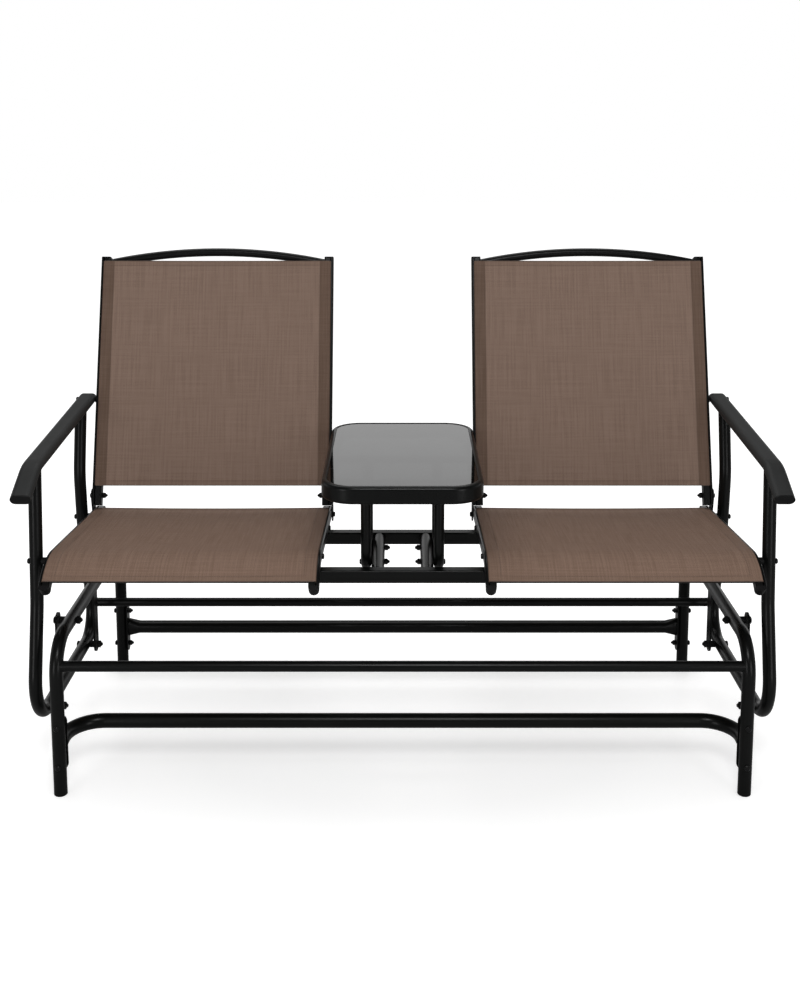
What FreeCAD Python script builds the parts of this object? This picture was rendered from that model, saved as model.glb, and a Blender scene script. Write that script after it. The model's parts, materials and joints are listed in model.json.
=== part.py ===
"""Two-seat porch glider with a glass-topped table between the seats.

A fixed base of bent steel tube carries a hanging carriage on four flat links.
The carriage holds two sling seats, two sling backs, two arms and the table.
Lengths are millimetres.  +X is to the right, +Y to the back, +Z up.  The origin lies on the floor
under the middle of the whole glider.
"""
import FreeCAD, Part
import math
import os

# A setback is measured to the back from the front legs, an advance to the front from the rear legs.
# A rise is measured up from the seat, a drop down from it, except where a comment says so.

# Base: two bent side frames, two front bars and a rear bar
BASE_DEPTH = 552.0
BASE_RAIL_Z = 295.0
BASE_TUBE = 25.0
BASE_BEND = 65.0
TUBE_WALL = 1.5
CROSS_BAR_TUBE = 20.0
CROSS_BAR_BELOW_RAIL = 44.0
FOOT_BAR_TUBE = 28.0
FOOT_BAR_SETBACK = 100.0
FOOT_BAR_BEND = 65.0
FOOT_BAR_Z = 97.0
REAR_BAR_Z = 101.0
REAR_BAR_FLARE_LENGTH = 26.0
REAR_BAR_FLARE_HEIGHT = 42.0
REAR_BAR_FLARE_WIDTH = 21.0
END_PLATE_WIDTH = 26.0
END_PLATE_HEIGHT = 110.0
END_PLATE_THICKNESS = 3.0
END_PLATE_BOLT_SPACING = 77.0
FOOT_FLANGE = 25.0
FOOT_FLANGE_HEIGHT = 5.0
FOOT_FLANGE_ROUND = 1.5
FOOT_STEM_HEIGHT = 18.0

# Links: four flat bars that hang the carriage from the base rails
LINK_LENGTH = 175.0
LINK_WIDTH = 30.0
LINK_THICKNESS = 4.0
FRONT_LINK_SETBACK = 116.0
REAR_LINK_ADVANCE = 142.0
BUSH_DIAMETER = 12.0
BUSH_FLANGE = 17.0
BUSH_FLANGE_THICKNESS = 1.2
SPACER_DIAMETER = 14.0
LINK_SIDE_GAP = 10.5

# Arm loops: one bent tube at each end of the carriage
LOOP_TUBE = 25.0
LOOP_TOP_SETBACK = 92.0
LOOP_KNEE_SETBACK = 70.0
LOOP_KNEE_DROP = 69.0
LOOP_KNEE_BEND = 150.0
LOOP_TOE_SETBACK = 18.0
LOOP_TOE_BEND = 76.0
LOOP_HEEL_ADVANCE = 52.0
LOOP_HEEL_BEND = 60.0
LOOP_CALF_ADVANCE = 122.0
LOOP_CALF_DROP = 30.0
LOOP_WAIST_ADVANCE = 132.0
LOOP_WAIST_RISE = 86.0
LOOP_REAR_BEND = 150.0
LOOP_REAR_TOP_ADVANCE = 100.0
TIE_BAR_TUBE = 19.0
TIE_BAR_ADVANCE = 72.0
TIE_BAR_ABOVE_PIVOT = 68.0

# Arms: flat-oval tube, level at the back and dipping at the front
ARM_WIDTH = 38.0
ARM_THICKNESS = 20.0
ARM_TIP_SETBACK = -7.0
ARM_TIP_RISE = 157.5
ARM_KINK_SETBACK = 69.0
ARM_KINK_RISE = 196.5
ARM_KINK_BEND = 90.0
ARM_REAR_ADVANCE = 34.0
ARM_REAR_RISE = 228.8
ARM_SIDE_GAP = 10.5
ARM_CAP_THICKNESS = 3.0
ARM_CAP_STEM = 4.0

# Sling rails: extrusions with a bore and a slot for the edge of the sling
RAIL_WIDTH = 20.0
RAIL_DEPTH = 22.0
RAIL_ROUND = 3.0
RAIL_WALL = 2.2
RAIL_BORE = 7.0
RAIL_SLOT = 3.0
RAIL_LIP = 2.5
RAIL_SLOT_EDGE = 6.0
RAIL_PLUG_CAP = 2.5
RAIL_PLUG_STEM = 4.0
SEAT_WIDTH = 494.0
SEAT_Z = 414.0
SEAT_SLOPE = 4.5
SEAT_REAR_ADVANCE = 92.0
SEAT_NOSE_SETBACK = 94.0
SEAT_NOSE_BEND = 105.0
SEAT_NOSE_TURN = 51.0
BACK_TILT = 18.5
BACK_FOOT_ADVANCE = 122.0
BACK_FOOT_RISE = 14.0
BACK_LENGTH = 540.0
HEAD_BAR_TUBE = 18.0
HEAD_BAR_DROP = 1.5
HEAD_BAR_RISE = 25.0

# Slings: woven sheets whose edges wrap round a spline cord inside the rail's bore
SLING_THICKNESS = 1.4
SLING_GAP = 0.3
SPLINE_DIAMETER = 4.0
SLING_LOOP = 6.4
SEAT_SLING_REAR_INSET = 24.0
SEAT_SLING_FRONT_TURN = 47.0
BACK_SLING_FOOT_INSET = 40.0
BACK_SLING_HEAD_INSET = 8.0

# Seat supports and brackets
CROSS_RAIL = 25.0
CROSS_RAIL_FRONT_SETBACK = 105.0
CROSS_RAIL_REAR_ADVANCE = 224.0
CROSS_RAIL_CAP = 2.0
CROSS_RAIL_CAP_STEM = 8.0
TAB_WIDTH = 22.0
TAB_ABOVE_BOLT = 8.0
TAB_THICKNESS = 3.0
BRACKET_WIDTH = 25.0
BRACKET_THICKNESS = 3.0
BRACKET_SEAT_BOLT_INSET = 10.0
BRACKET_BACK_BOLT_INSET = 19.0
BRACKET_FOOT_DROP = 15.0
BRACKET_HEAD_RISE = 15.0

# Table between the seats
TABLE_WIDTH = 304.0
TABLE_DEPTH = 500.0
TABLE_FRONT_SETBACK = 22.0
TABLE_RISE = 173.0
TABLE_SIDE_GAP = 1.0
RIM_WIDTH = 22.0
RIM_HEIGHT = 34.0
RIM_CORNER = 62.0
RIM_ROUND = 7.0
RIM_WALL = 2.5
GLASS_LEDGE = 12.0
GLASS_THICKNESS = 5.0
GLASS_INSET = 1.0
GLASS_SIDE_GAP = 0.6
PAD_DIAMETER = 9.0
PAD_THICKNESS = 1.2
TABLE_BAR_TUBE = 25.0
TABLE_BAR_X = 48.0
TABLE_LEG_TUBE = 20.0
TABLE_LEG_FRONT_SETBACK = 138.0
TABLE_LEG_REAR_ADVANCE = 248.0
TABLE_LEG_BEND = 35.0
TABLE_BOLT_INSET = 42.0
SUPPORT_DEPTH = 20.0
SUPPORT_HEIGHT = 10.0

# Fasteners and fits
PIVOT_BOLT = 8.0
FRAME_BOLT = 6.0
HEAD_TO_BOLT = 1.8
HEAD_HEIGHT = 4.0
HEAD_CHAMFER = 1.5
NUT_TO_BOLT = 1.75
NUT_SIDES = 6
NUT_HEIGHT = 6.0
NUT_CAP = 4.5
NUT_CAP_FOOT_TO_BOLT = 0.75
NUT_CAP_TIP_TO_BOLT = 0.3
BOLT_TIP_GAP = 1.0
HOLE_CLEARANCE = 0.25
RUNNING_CLEARANCE = 0.05
SIDE_CLEARANCE = 0.2
PLUG_CLEARANCE = 0.15
SHORTEST_SIDE = 0.002

# Directions
QUARTER_TURN = 90
WHOLE_TURN = 360
X_AXIS = FreeCAD.Vector(1, 0, 0)
Y_AXIS = FreeCAD.Vector(0, 1, 0)
Z_AXIS = FreeCAD.Vector(0, 0, 1)
SEAT_ANGLE = math.radians(SEAT_SLOPE)
SEAT_FORWARD = FreeCAD.Vector(0, -math.cos(SEAT_ANGLE), math.sin(SEAT_ANGLE))
SEAT_UP = FreeCAD.Vector(0, math.sin(SEAT_ANGLE), math.cos(SEAT_ANGLE))
BACK_ANGLE = math.radians(BACK_TILT)
BACK_FRONT = FreeCAD.Vector(0, -math.cos(BACK_ANGLE), math.sin(BACK_ANGLE))
BACK_UP = FreeCAD.Vector(0, math.sin(BACK_ANGLE), math.cos(BACK_ANGLE))

# Places across the glider, from the table out to the base
SEAT_INNER_X = TABLE_WIDTH / 2 + TABLE_SIDE_GAP + RAIL_WIDTH / 2
SEAT_OUTER_X = SEAT_INNER_X + SEAT_WIDTH
LOOP_X = SEAT_OUTER_X + RAIL_WIDTH / 2 + ARM_SIDE_GAP + LOOP_TUBE / 2
LINK_CENTRE_X = LOOP_X - LOOP_TUBE / 2 - LINK_SIDE_GAP - LINK_THICKNESS / 2
BASE_HALF_WIDTH = LINK_CENTRE_X - LINK_THICKNESS / 2 - LINK_SIDE_GAP - BASE_TUBE / 2

# Places along the depth that keep to the rear legs
REAR_LINK_SETBACK = BASE_DEPTH - REAR_LINK_ADVANCE
LOOP_HEEL_SETBACK = BASE_DEPTH - LOOP_HEEL_ADVANCE
LOOP_CALF_SETBACK = BASE_DEPTH - LOOP_CALF_ADVANCE
LOOP_WAIST_SETBACK = BASE_DEPTH - LOOP_WAIST_ADVANCE
LOOP_REAR_TOP_SETBACK = BASE_DEPTH - LOOP_REAR_TOP_ADVANCE
TIE_BAR_SETBACK = BASE_DEPTH - TIE_BAR_ADVANCE
ARM_REAR_SETBACK = BASE_DEPTH - ARM_REAR_ADVANCE
SEAT_REAR_SETBACK = BASE_DEPTH - SEAT_REAR_ADVANCE
BACK_FOOT_SETBACK = BASE_DEPTH - BACK_FOOT_ADVANCE
CROSS_RAIL_REAR_SETBACK = BASE_DEPTH - CROSS_RAIL_REAR_ADVANCE
TABLE_LEG_REAR_SETBACK = BASE_DEPTH - TABLE_LEG_REAR_ADVANCE

# Heights that keep to the base rails or to the seat
CROSS_BAR_Z = BASE_RAIL_Z - CROSS_BAR_BELOW_RAIL
LOW_PIVOT_Z = BASE_RAIL_Z - LINK_LENGTH
TIE_BAR_Z = LOW_PIVOT_Z + TIE_BAR_ABOVE_PIVOT
LOOP_KNEE_Z = SEAT_Z - LOOP_KNEE_DROP
LOOP_CALF_Z = SEAT_Z - LOOP_CALF_DROP
LOOP_WAIST_Z = SEAT_Z + LOOP_WAIST_RISE
ARM_TIP_Z = SEAT_Z + ARM_TIP_RISE
ARM_KINK_Z = SEAT_Z + ARM_KINK_RISE
ARM_REAR_Z = SEAT_Z + ARM_REAR_RISE
BACK_FOOT_Z = SEAT_Z + BACK_FOOT_RISE
TABLE_Z = SEAT_Z + TABLE_RISE

# The whole glider's middle: its front is a bolt head on a front leg, its rear the crown of a head bar
HEAD_BAR_CROWN = BACK_LENGTH - HEAD_BAR_DROP - HEAD_BAR_TUBE / 2 + HEAD_BAR_RISE
REAR_REACH = BACK_FOOT_SETBACK + HEAD_BAR_CROWN * math.sin(BACK_ANGLE) + HEAD_BAR_TUBE / 2
FRONT_REACH = BASE_TUBE / 2 + HEAD_HEIGHT
FRONT_LEG_Y = (FRONT_REACH - REAR_REACH) / 2
FRONT_PIVOT_Y = FRONT_LEG_Y + FRONT_LINK_SETBACK
REAR_PIVOT_Y = FRONT_LEG_Y + REAR_LINK_SETBACK

# Seat supports, rail sections and the table's levels
CROSS_RAIL_TOP = SEAT_Z - (RAIL_DEPTH / 2 + CROSS_RAIL / 2 * math.sin(SEAT_ANGLE)) / math.cos(SEAT_ANGLE)
CROSS_RAIL_Z = CROSS_RAIL_TOP - CROSS_RAIL / 2
CROSS_RAIL_HALF_LENGTH = SEAT_OUTER_X + RAIL_WIDTH / 2
SLOT_U = RAIL_WIDTH / 2 - RAIL_SLOT_EDGE
BORE_W = RAIL_DEPTH / 2 - RAIL_LIP - RAIL_BORE / 2
CAVITY_TOP_W = BORE_W - RAIL_BORE / 2 - RAIL_WALL
CAVITY_FOOT_W = -RAIL_DEPTH / 2 + RAIL_WALL
RAIL_BOLT_W = (CAVITY_TOP_W + CAVITY_FOOT_W) / 2
TABLE_LEG_X = TABLE_BAR_X + TABLE_BAR_TUBE / 2 + TABLE_LEG_TUBE / 2
RIM_FOOT_Z = TABLE_Z - RIM_HEIGHT
GLASS_FOOT_Z = TABLE_Z - GLASS_INSET - GLASS_THICKNESS
LEDGE_Z = GLASS_FOOT_Z - PAD_THICKNESS
ENDS = (("left", -1), ("right", 1))


def point(x, setback, z):
    """A place given by its distance behind the front legs."""
    return FreeCAD.Vector(x, FRONT_LEG_Y + setback, z)


def unit(vector):
    """The same direction with length one."""
    return vector * (1 / vector.Length)


def placed(shape, origin, across, along):
    """A section drawn in the XY plane, set square to a heading, its X turned to across."""
    up = along.cross(across)
    matrix = FreeCAD.Matrix(
        across.x, up.x, along.x, origin.x,
        across.y, up.y, along.y, origin.y,
        across.z, up.z, along.z, origin.z,
        0, 0, 0, 1)
    moved = shape.copy()
    moved.Placement = FreeCAD.Placement(matrix).multiply(shape.Placement)
    return moved


def disc(diameter):
    """A round face in the XY plane."""
    return Part.Face(Part.Wire(Part.makeCircle(diameter / 2)))


def oval(width, height, corner):
    """A rectangle with round corners in the XY plane, its corner limited by the shorter side."""
    corner = min(corner, (width - SHORTEST_SIDE) / 2, (height - SHORTEST_SIDE) / 2)
    half_x = width / 2 - corner
    half_y = height / 2 - corner
    edges = []
    corners = ((half_x, half_y), (-half_x, half_y), (-half_x, -half_y), (half_x, -half_y))
    for quarter, (x, y) in enumerate(corners):
        start = quarter * QUARTER_TURN
        edges.append(Part.makeCircle(corner, FreeCAD.Vector(x, y, 0), Z_AXIS, start, start + QUARTER_TURN))
    sides = []
    for edge, following in zip(edges, edges[1:] + edges[:1]):
        stop = edge.valueAt(edge.LastParameter)
        sides += [edge, Part.makeLine(stop, following.valueAt(following.FirstParameter))]
    return Part.Face(Part.Wire(sides))


def polygon(corners):
    """A straight-sided face in the XY plane."""
    path = [FreeCAD.Vector(x, y, 0) for x, y in corners]
    return Part.Face(Part.makePolygon(path + path[:1]))


def upright_strip(left, right, foot, top):
    """A rectangle in the XY plane, given by its sides."""
    return polygon(((left, foot), (right, foot), (right, top), (left, top)))


def ring(diameter):
    """The section of a tube."""
    return disc(diameter).cut(disc(diameter - 2 * TUBE_WALL)).Faces[0]


def bent_wire(corners, bends):
    """Straight runs joined by tangent arcs."""
    edges = []
    here = corners[0]
    for before, corner, following, bend in zip(corners, corners[1:-1], corners[2:], bends):
        heading = unit(corner - before)
        leaving = unit(following - corner)
        turn = heading.getAngle(leaving)
        setback = bend * math.tan(turn / 2)
        start = corner - heading * setback
        stop = corner + leaving * setback
        to_middle = unit(leaving - heading)
        middle = corner + to_middle * (bend / math.cos(turn / 2) - bend)
        edges.append(Part.makeLine(here, start))
        edges.append(Part.Arc(start, middle, stop).toShape())
        here = stop
    edges.append(Part.makeLine(here, corners[-1]))
    return Part.Wire(edges)


def carry(section, corners, bends, across):
    """Sweep a section along straight runs joined by tangent arcs."""
    heading = unit(corners[1] - corners[0])
    face = placed(section, corners[0], across, heading)
    if len(corners) == 2:
        return face.extrude(corners[1] - corners[0])
    return bent_wire(corners, bends).makePipe(face)


def fused(pieces):
    """One solid from pieces that touch."""
    if len(pieces) == 1:
        return pieces[0]
    return pieces[0].fuse(pieces[1:]).removeSplitter()


def rod(start, heading, length, diameter):
    """A solid cylinder."""
    return Part.makeCylinder(diameter / 2, length, start, heading)


def drilled(shape, places, heading, length, diameter):
    """Holes through a shape, each centred on its place."""
    return shape.cut([rod(place - heading * (length / 2), heading, length, diameter) for place in places])


def bolt(head_seat, heading, grip, diameter):
    """A level bolt with a low round head; heading points from the head to the nut, grip is what it clamps."""
    radius = diameter / 2
    head = radius * HEAD_TO_BOLT
    tip = grip + NUT_HEIGHT - BOLT_TIP_GAP
    profile = polygon((
        (0, -HEAD_HEIGHT), (head - HEAD_CHAMFER, -HEAD_HEIGHT), (head, HEAD_CHAMFER - HEAD_HEIGHT),
        (head, 0), (radius, 0), (radius, tip), (0, tip)))
    upright = profile.rotated(FreeCAD.Vector(), X_AXIS, QUARTER_TURN)
    turned = upright.revolve(FreeCAD.Vector(), Z_AXIS, WHOLE_TURN)
    return placed(turned, head_seat, Z_AXIS, heading)


def cap_nut(seat, heading, diameter):
    """A closed hexagon nut with a pointed cap, screwed on from its seat along heading."""
    half_side = math.pi / NUT_SIDES
    reach = diameter * NUT_TO_BOLT / 2 / math.cos(half_side)
    turns = [2 * half_side * corner for corner in range(NUT_SIDES)]
    hexagon = polygon([(reach * math.cos(turn), reach * math.sin(turn)) for turn in turns])
    body = hexagon.extrude(Z_AXIS * NUT_HEIGHT)
    body = body.cut(rod(FreeCAD.Vector(), Z_AXIS, NUT_HEIGHT, diameter))
    foot = diameter * NUT_CAP_FOOT_TO_BOLT
    crown = Part.makeCone(foot, diameter * NUT_CAP_TIP_TO_BOLT, NUT_CAP, Z_AXIS * NUT_HEIGHT, Z_AXIS)
    return placed(fused([body, crown]), seat, Z_AXIS, heading)


def bolt_and_nut(head_seat, nut_seat, diameter):
    """A bolt from its head's seat to its nut's seat, and the nut."""
    way = nut_seat - head_seat
    heading = unit(way)
    return [bolt(head_seat, heading, way.Length, diameter), cap_nut(nut_seat, heading, diameter)]


def export(name, shapes):
    """Write one node, a single solid or a group of separate ones."""
    shape = shapes[0] if len(shapes) == 1 else Part.makeCompound(shapes)
    for solid in shape.Solids:
        if not solid.isValid():
            raise ValueError(name + " has a bad solid")
    if len(shape.Solids) != len(shapes):
        raise ValueError(name + " has " + str(len(shape.Solids)) + " solids")
    shape.exportStep("parts/" + name + ".step")


# Base side frames

def base_frame_corners(side):
    x = side * BASE_HALF_WIDTH
    return [
        point(x, 0, FOOT_FLANGE_HEIGHT), point(x, 0, BASE_RAIL_Z),
        point(x, BASE_DEPTH, BASE_RAIL_Z), point(x, BASE_DEPTH, FOOT_FLANGE_HEIGHT)]


def base_frame_sweep(side, section):
    return carry(section, base_frame_corners(side), [BASE_BEND, BASE_BEND], X_AXIS)


def end_plate_heights(middle):
    return [middle + END_PLATE_BOLT_SPACING / 2, middle - END_PLATE_BOLT_SPACING / 2]


def make_base_frame(side):
    """An inverted U of tube with its bolt holes."""
    frame = base_frame_sweep(side, ring(BASE_TUBE))
    x = side * BASE_HALF_WIDTH
    through = BASE_TUBE * 2
    hole = FRAME_BOLT + 2 * HOLE_CLEARANCE
    pivot_hole = PIVOT_BOLT + 2 * HOLE_CLEARANCE
    pivots = [FreeCAD.Vector(x, y, BASE_RAIL_Z) for y in (FRONT_PIVOT_Y, REAR_PIVOT_Y)]
    frame = drilled(frame, pivots, X_AXIS, through, pivot_hole)
    front_holes = [point(x, 0, z) for z in end_plate_heights(FOOT_BAR_Z)]
    rear_holes = [point(x, BASE_DEPTH, z) for z in end_plate_heights(REAR_BAR_Z)]
    frame = drilled(frame, front_holes, Y_AXIS, through, hole)
    return drilled(frame, rear_holes, X_AXIS, through, hole)


def make_foot_plug(x, setback):
    """A plastic foot with a stem inside the leg."""
    stem = (BASE_TUBE - 2 * TUBE_WALL) / 2 - PLUG_CLEARANCE
    flange = FOOT_FLANGE / 2
    top = FOOT_FLANGE_HEIGHT + FOOT_STEM_HEIGHT
    profile = polygon((
        (0, 0), (flange - FOOT_FLANGE_ROUND, 0), (flange, FOOT_FLANGE_ROUND), (flange, FOOT_FLANGE_HEIGHT),
        (stem, FOOT_FLANGE_HEIGHT), (stem, top), (0, top)))
    upright = profile.rotated(FreeCAD.Vector(), X_AXIS, QUARTER_TURN)
    return upright.revolve(FreeCAD.Vector(), Z_AXIS, WHOLE_TURN).translated(point(x, setback, 0))


def make_front_cross_bar():
    """A straight tube coped to both front legs, where they begin to bend back."""
    into_bend = max(0, CROSS_BAR_Z - (BASE_RAIL_Z - BASE_BEND))
    lean = BASE_BEND - math.sqrt(BASE_BEND ** 2 - into_bend ** 2)
    ends = [point(-BASE_HALF_WIDTH, lean, CROSS_BAR_Z), point(BASE_HALF_WIDTH, lean, CROSS_BAR_Z)]
    bar = carry(ring(CROSS_BAR_TUBE), ends, [], Y_AXIS)
    for _, side in ENDS:
        bar = bar.cut(base_frame_sweep(side, disc(BASE_TUBE)))
    return max(bar.Solids, key=lambda solid: solid.Volume)


def end_plate(centre, across, facing):
    """A round-ended plate with two bolt holes, its near face on centre."""
    outline = oval(END_PLATE_WIDTH, END_PLATE_HEIGHT, END_PLATE_WIDTH / 2)
    plate = placed(outline, centre, across, facing).extrude(facing * END_PLATE_THICKNESS)
    spread = Z_AXIS * (END_PLATE_BOLT_SPACING / 2)
    hole = FRAME_BOLT + 2 * HOLE_CLEARANCE
    return drilled(plate, [centre + spread, centre - spread], facing, END_PLATE_WIDTH, hole)


def make_front_foot_bar():
    """A level U of tube whose ends curve forward to plates behind the front legs."""
    plate_front = BASE_TUBE / 2
    weld = plate_front + END_PLATE_THICKNESS
    x = BASE_HALF_WIDTH
    corners = [
        point(-x, weld, FOOT_BAR_Z), point(-x, FOOT_BAR_SETBACK, FOOT_BAR_Z),
        point(x, FOOT_BAR_SETBACK, FOOT_BAR_Z), point(x, weld, FOOT_BAR_Z)]
    bar = carry(ring(FOOT_BAR_TUBE), corners, [FOOT_BAR_BEND, FOOT_BAR_BEND], Z_AXIS)
    plates = [end_plate(point(side * x, plate_front, FOOT_BAR_Z), X_AXIS, Y_AXIS) for _, side in ENDS]
    return fused([bar] + plates)


def flare(side, trim):
    """The flattened end of the rear bar, smaller by trim all round."""
    plate_x = side * (BASE_HALF_WIDTH - BASE_TUBE / 2 - END_PLATE_THICKNESS)
    inner_x = plate_x - side * REAR_BAR_FLARE_LENGTH
    circle = Part.makeCircle(FOOT_BAR_TUBE / 2 - trim)
    half_height = REAR_BAR_FLARE_HEIGHT / 2 - trim
    ellipse = Part.Ellipse(FreeCAD.Vector(), half_height, REAR_BAR_FLARE_WIDTH / 2 - trim)
    round_end = placed(Part.Wire(circle), point(inner_x, BASE_DEPTH, REAR_BAR_Z), Z_AXIS, X_AXIS)
    flat_end = placed(Part.Wire(ellipse.toShape()), point(plate_x, BASE_DEPTH, REAR_BAR_Z), Z_AXIS, X_AXIS)
    return Part.makeLoft([round_end, flat_end], True, True)


def make_rear_cross_bar():
    """A straight tube with flared ends on plates inside the rear legs."""
    plate_x = BASE_HALF_WIDTH - BASE_TUBE / 2
    straight = plate_x - END_PLATE_THICKNESS - REAR_BAR_FLARE_LENGTH
    ends = [point(-straight, BASE_DEPTH, REAR_BAR_Z), point(straight, BASE_DEPTH, REAR_BAR_Z)]
    pieces = [carry(ring(FOOT_BAR_TUBE), ends, [], Y_AXIS)]
    for _, side in ENDS:
        pieces.append(flare(side, 0).cut(flare(side, TUBE_WALL)))
        pieces.append(end_plate(point(side * plate_x, BASE_DEPTH, REAR_BAR_Z), Y_AXIS, X_AXIS * -side))
    return fused(pieces)


def make_foot_bar_bolts():
    """Bolts through the front legs into the foot bar's end plates."""
    solids = []
    for _, side in ENDS:
        for z in end_plate_heights(FOOT_BAR_Z):
            head = point(side * BASE_HALF_WIDTH, -BASE_TUBE / 2, z)
            nut = point(side * BASE_HALF_WIDTH, BASE_TUBE / 2 + END_PLATE_THICKNESS, z)
            solids += bolt_and_nut(head, nut, FRAME_BOLT)
    return solids


def make_rear_bar_bolts():
    """Bolts through the rear legs into the rear bar's end plates."""
    solids = []
    for _, side in ENDS:
        for z in end_plate_heights(REAR_BAR_Z):
            head = point(side * (BASE_HALF_WIDTH + BASE_TUBE / 2), BASE_DEPTH, z)
            nut = point(side * (BASE_HALF_WIDTH - BASE_TUBE / 2 - END_PLATE_THICKNESS), BASE_DEPTH, z)
            solids += bolt_and_nut(head, nut, FRAME_BOLT)
    return solids


# Links and pivots

def make_link(side, pivot_y):
    """A flat bar with round ends and a hole at each pivot."""
    outline = oval(LINK_WIDTH, LINK_LENGTH + LINK_WIDTH, LINK_WIDTH / 2)
    middle = FreeCAD.Vector(side * LINK_CENTRE_X - LINK_THICKNESS / 2, pivot_y, BASE_RAIL_Z - LINK_LENGTH / 2)
    bar = placed(outline, middle, Y_AXIS, X_AXIS).extrude(X_AXIS * LINK_THICKNESS)
    places = [FreeCAD.Vector(side * LINK_CENTRE_X, pivot_y, z) for z in (BASE_RAIL_Z, LOW_PIVOT_Z)]
    return drilled(bar, places, X_AXIS, LINK_WIDTH, BUSH_DIAMETER)


def make_bush(side, pivot_y, pivot_z):
    """A nylon bush clipped into a link, with a flange on each face."""
    bore = PIVOT_BOLT / 2 + RUNNING_CLEARANCE
    half = LINK_THICKNESS / 2
    face = half + BUSH_FLANGE_THICKNESS
    profile = polygon((
        (bore, -face), (BUSH_FLANGE / 2, -face), (BUSH_FLANGE / 2, -half), (BUSH_DIAMETER / 2, -half),
        (BUSH_DIAMETER / 2, half), (BUSH_FLANGE / 2, half), (BUSH_FLANGE / 2, face), (bore, face)))
    upright = profile.rotated(FreeCAD.Vector(), X_AXIS, QUARTER_TURN)
    turned = upright.revolve(FreeCAD.Vector(), Z_AXIS, WHOLE_TURN)
    return placed(turned, FreeCAD.Vector(side * LINK_CENTRE_X, pivot_y, pivot_z), Z_AXIS, X_AXIS)


def bush_face():
    """Distance from a link's middle to where a head, nut or spacer runs beside its bush."""
    return LINK_THICKNESS / 2 + BUSH_FLANGE_THICKNESS + SIDE_CLEARANCE


def spacer(seat_x, face_x, y, z, bore, tube_cut):
    """A tube spacer between a round tube and a flat face, coped to the tube."""
    heading = X_AXIS if face_x > seat_x else -X_AXIS
    start = FreeCAD.Vector(seat_x, y, z)
    length = abs(face_x - seat_x)
    body = rod(start, heading, length, SPACER_DIAMETER).cut(rod(start, heading, length, bore))
    return body.cut(tube_cut)


def make_upper_pivots():
    """Bolts and spacers that hang the links on the base rails."""
    bolts = []
    spacers = []
    for _, side in ENDS:
        rail = base_frame_sweep(side, disc(BASE_TUBE))
        for y in (FRONT_PIVOT_Y, REAR_PIVOT_Y):
            head = FreeCAD.Vector(side * (LINK_CENTRE_X + bush_face()), y, BASE_RAIL_Z)
            nut = FreeCAD.Vector(side * (BASE_HALF_WIDTH - BASE_TUBE / 2), y, BASE_RAIL_Z)
            bolts += bolt_and_nut(head, nut, PIVOT_BOLT)
            face_x = side * (LINK_CENTRE_X - bush_face())
            spacers.append(spacer(side * BASE_HALF_WIDTH, face_x, y, BASE_RAIL_Z, PIVOT_BOLT, rail))
    return bolts, spacers


def make_lower_pivots():
    """Bolts and spacers that carry the arm loops on the links."""
    bolts = []
    spacers = []
    for _, side in ENDS:
        rail = loop_sweep(side, disc(LOOP_TUBE))
        for y in (FRONT_PIVOT_Y, REAR_PIVOT_Y):
            head = FreeCAD.Vector(side * (LOOP_X + LOOP_TUBE / 2), y, LOW_PIVOT_Z)
            nut = FreeCAD.Vector(side * (LINK_CENTRE_X - bush_face()), y, LOW_PIVOT_Z)
            bolts += bolt_and_nut(head, nut, PIVOT_BOLT)
            face_x = side * (LINK_CENTRE_X + bush_face())
            spacers.append(spacer(side * LOOP_X, face_x, y, LOW_PIVOT_Z, PIVOT_BOLT, rail))
    return bolts, spacers


# Arm loops and arms

def arm_corners(side):
    x = side * LOOP_X
    return [
        point(x, ARM_TIP_SETBACK, ARM_TIP_Z), point(x, ARM_KINK_SETBACK, ARM_KINK_Z),
        point(x, ARM_REAR_SETBACK, ARM_REAR_Z)]


def arm_sweep(side, section):
    corners = arm_corners(side)
    front = unit(corners[1] - corners[0])
    rear = unit(corners[2] - corners[1])
    corners[0] = corners[0] + front * ARM_CAP_THICKNESS
    corners[2] = corners[2] - rear * ARM_CAP_THICKNESS
    return carry(section, corners, [ARM_KINK_BEND], X_AXIS)


def arm_height(setback):
    """Height of the arm's centre line behind its kink."""
    share = (setback - ARM_KINK_SETBACK) / (ARM_REAR_SETBACK - ARM_KINK_SETBACK)
    return ARM_KINK_Z + share * (ARM_REAR_Z - ARM_KINK_Z)


def arm_section(trim):
    return oval(ARM_WIDTH - 2 * trim, ARM_THICKNESS - 2 * trim, ARM_THICKNESS / 2 - trim)


def loop_corners(side):
    x = side * LOOP_X
    return [
        point(x, LOOP_TOP_SETBACK, arm_height(LOOP_TOP_SETBACK)), point(x, LOOP_KNEE_SETBACK, LOOP_KNEE_Z),
        point(x, LOOP_TOE_SETBACK, LOW_PIVOT_Z), point(x, LOOP_HEEL_SETBACK, LOW_PIVOT_Z),
        point(x, LOOP_CALF_SETBACK, LOOP_CALF_Z), point(x, LOOP_WAIST_SETBACK, LOOP_WAIST_Z),
        point(x, LOOP_REAR_TOP_SETBACK, arm_height(LOOP_REAR_TOP_SETBACK))]


def loop_sweep(side, section):
    bends = [LOOP_KNEE_BEND, LOOP_TOE_BEND, LOOP_HEEL_BEND, LOOP_REAR_BEND, LOOP_REAR_BEND]
    return carry(section, loop_corners(side), bends, X_AXIS)


def post_crossing(low, high):
    """Where a straight post crosses the bolt line of the seat rail, on its straight run or on its nose."""
    along = unit(high - low)
    start = seat_point(low.x, SEAT_NOSE_SETBACK) + SEAT_UP * RAIL_BOLT_W
    place = low + along * ((start - low).dot(SEAT_UP) / along.dot(SEAT_UP))
    if (place - start).dot(SEAT_FORWARD) < 0:
        return place
    centre = nose_centre(low.x)
    foot = low + along * (centre - low).dot(along)
    return foot + along * math.sqrt((SEAT_NOSE_BEND + RAIL_BOLT_W) ** 2 - (centre - foot).Length ** 2)


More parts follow.
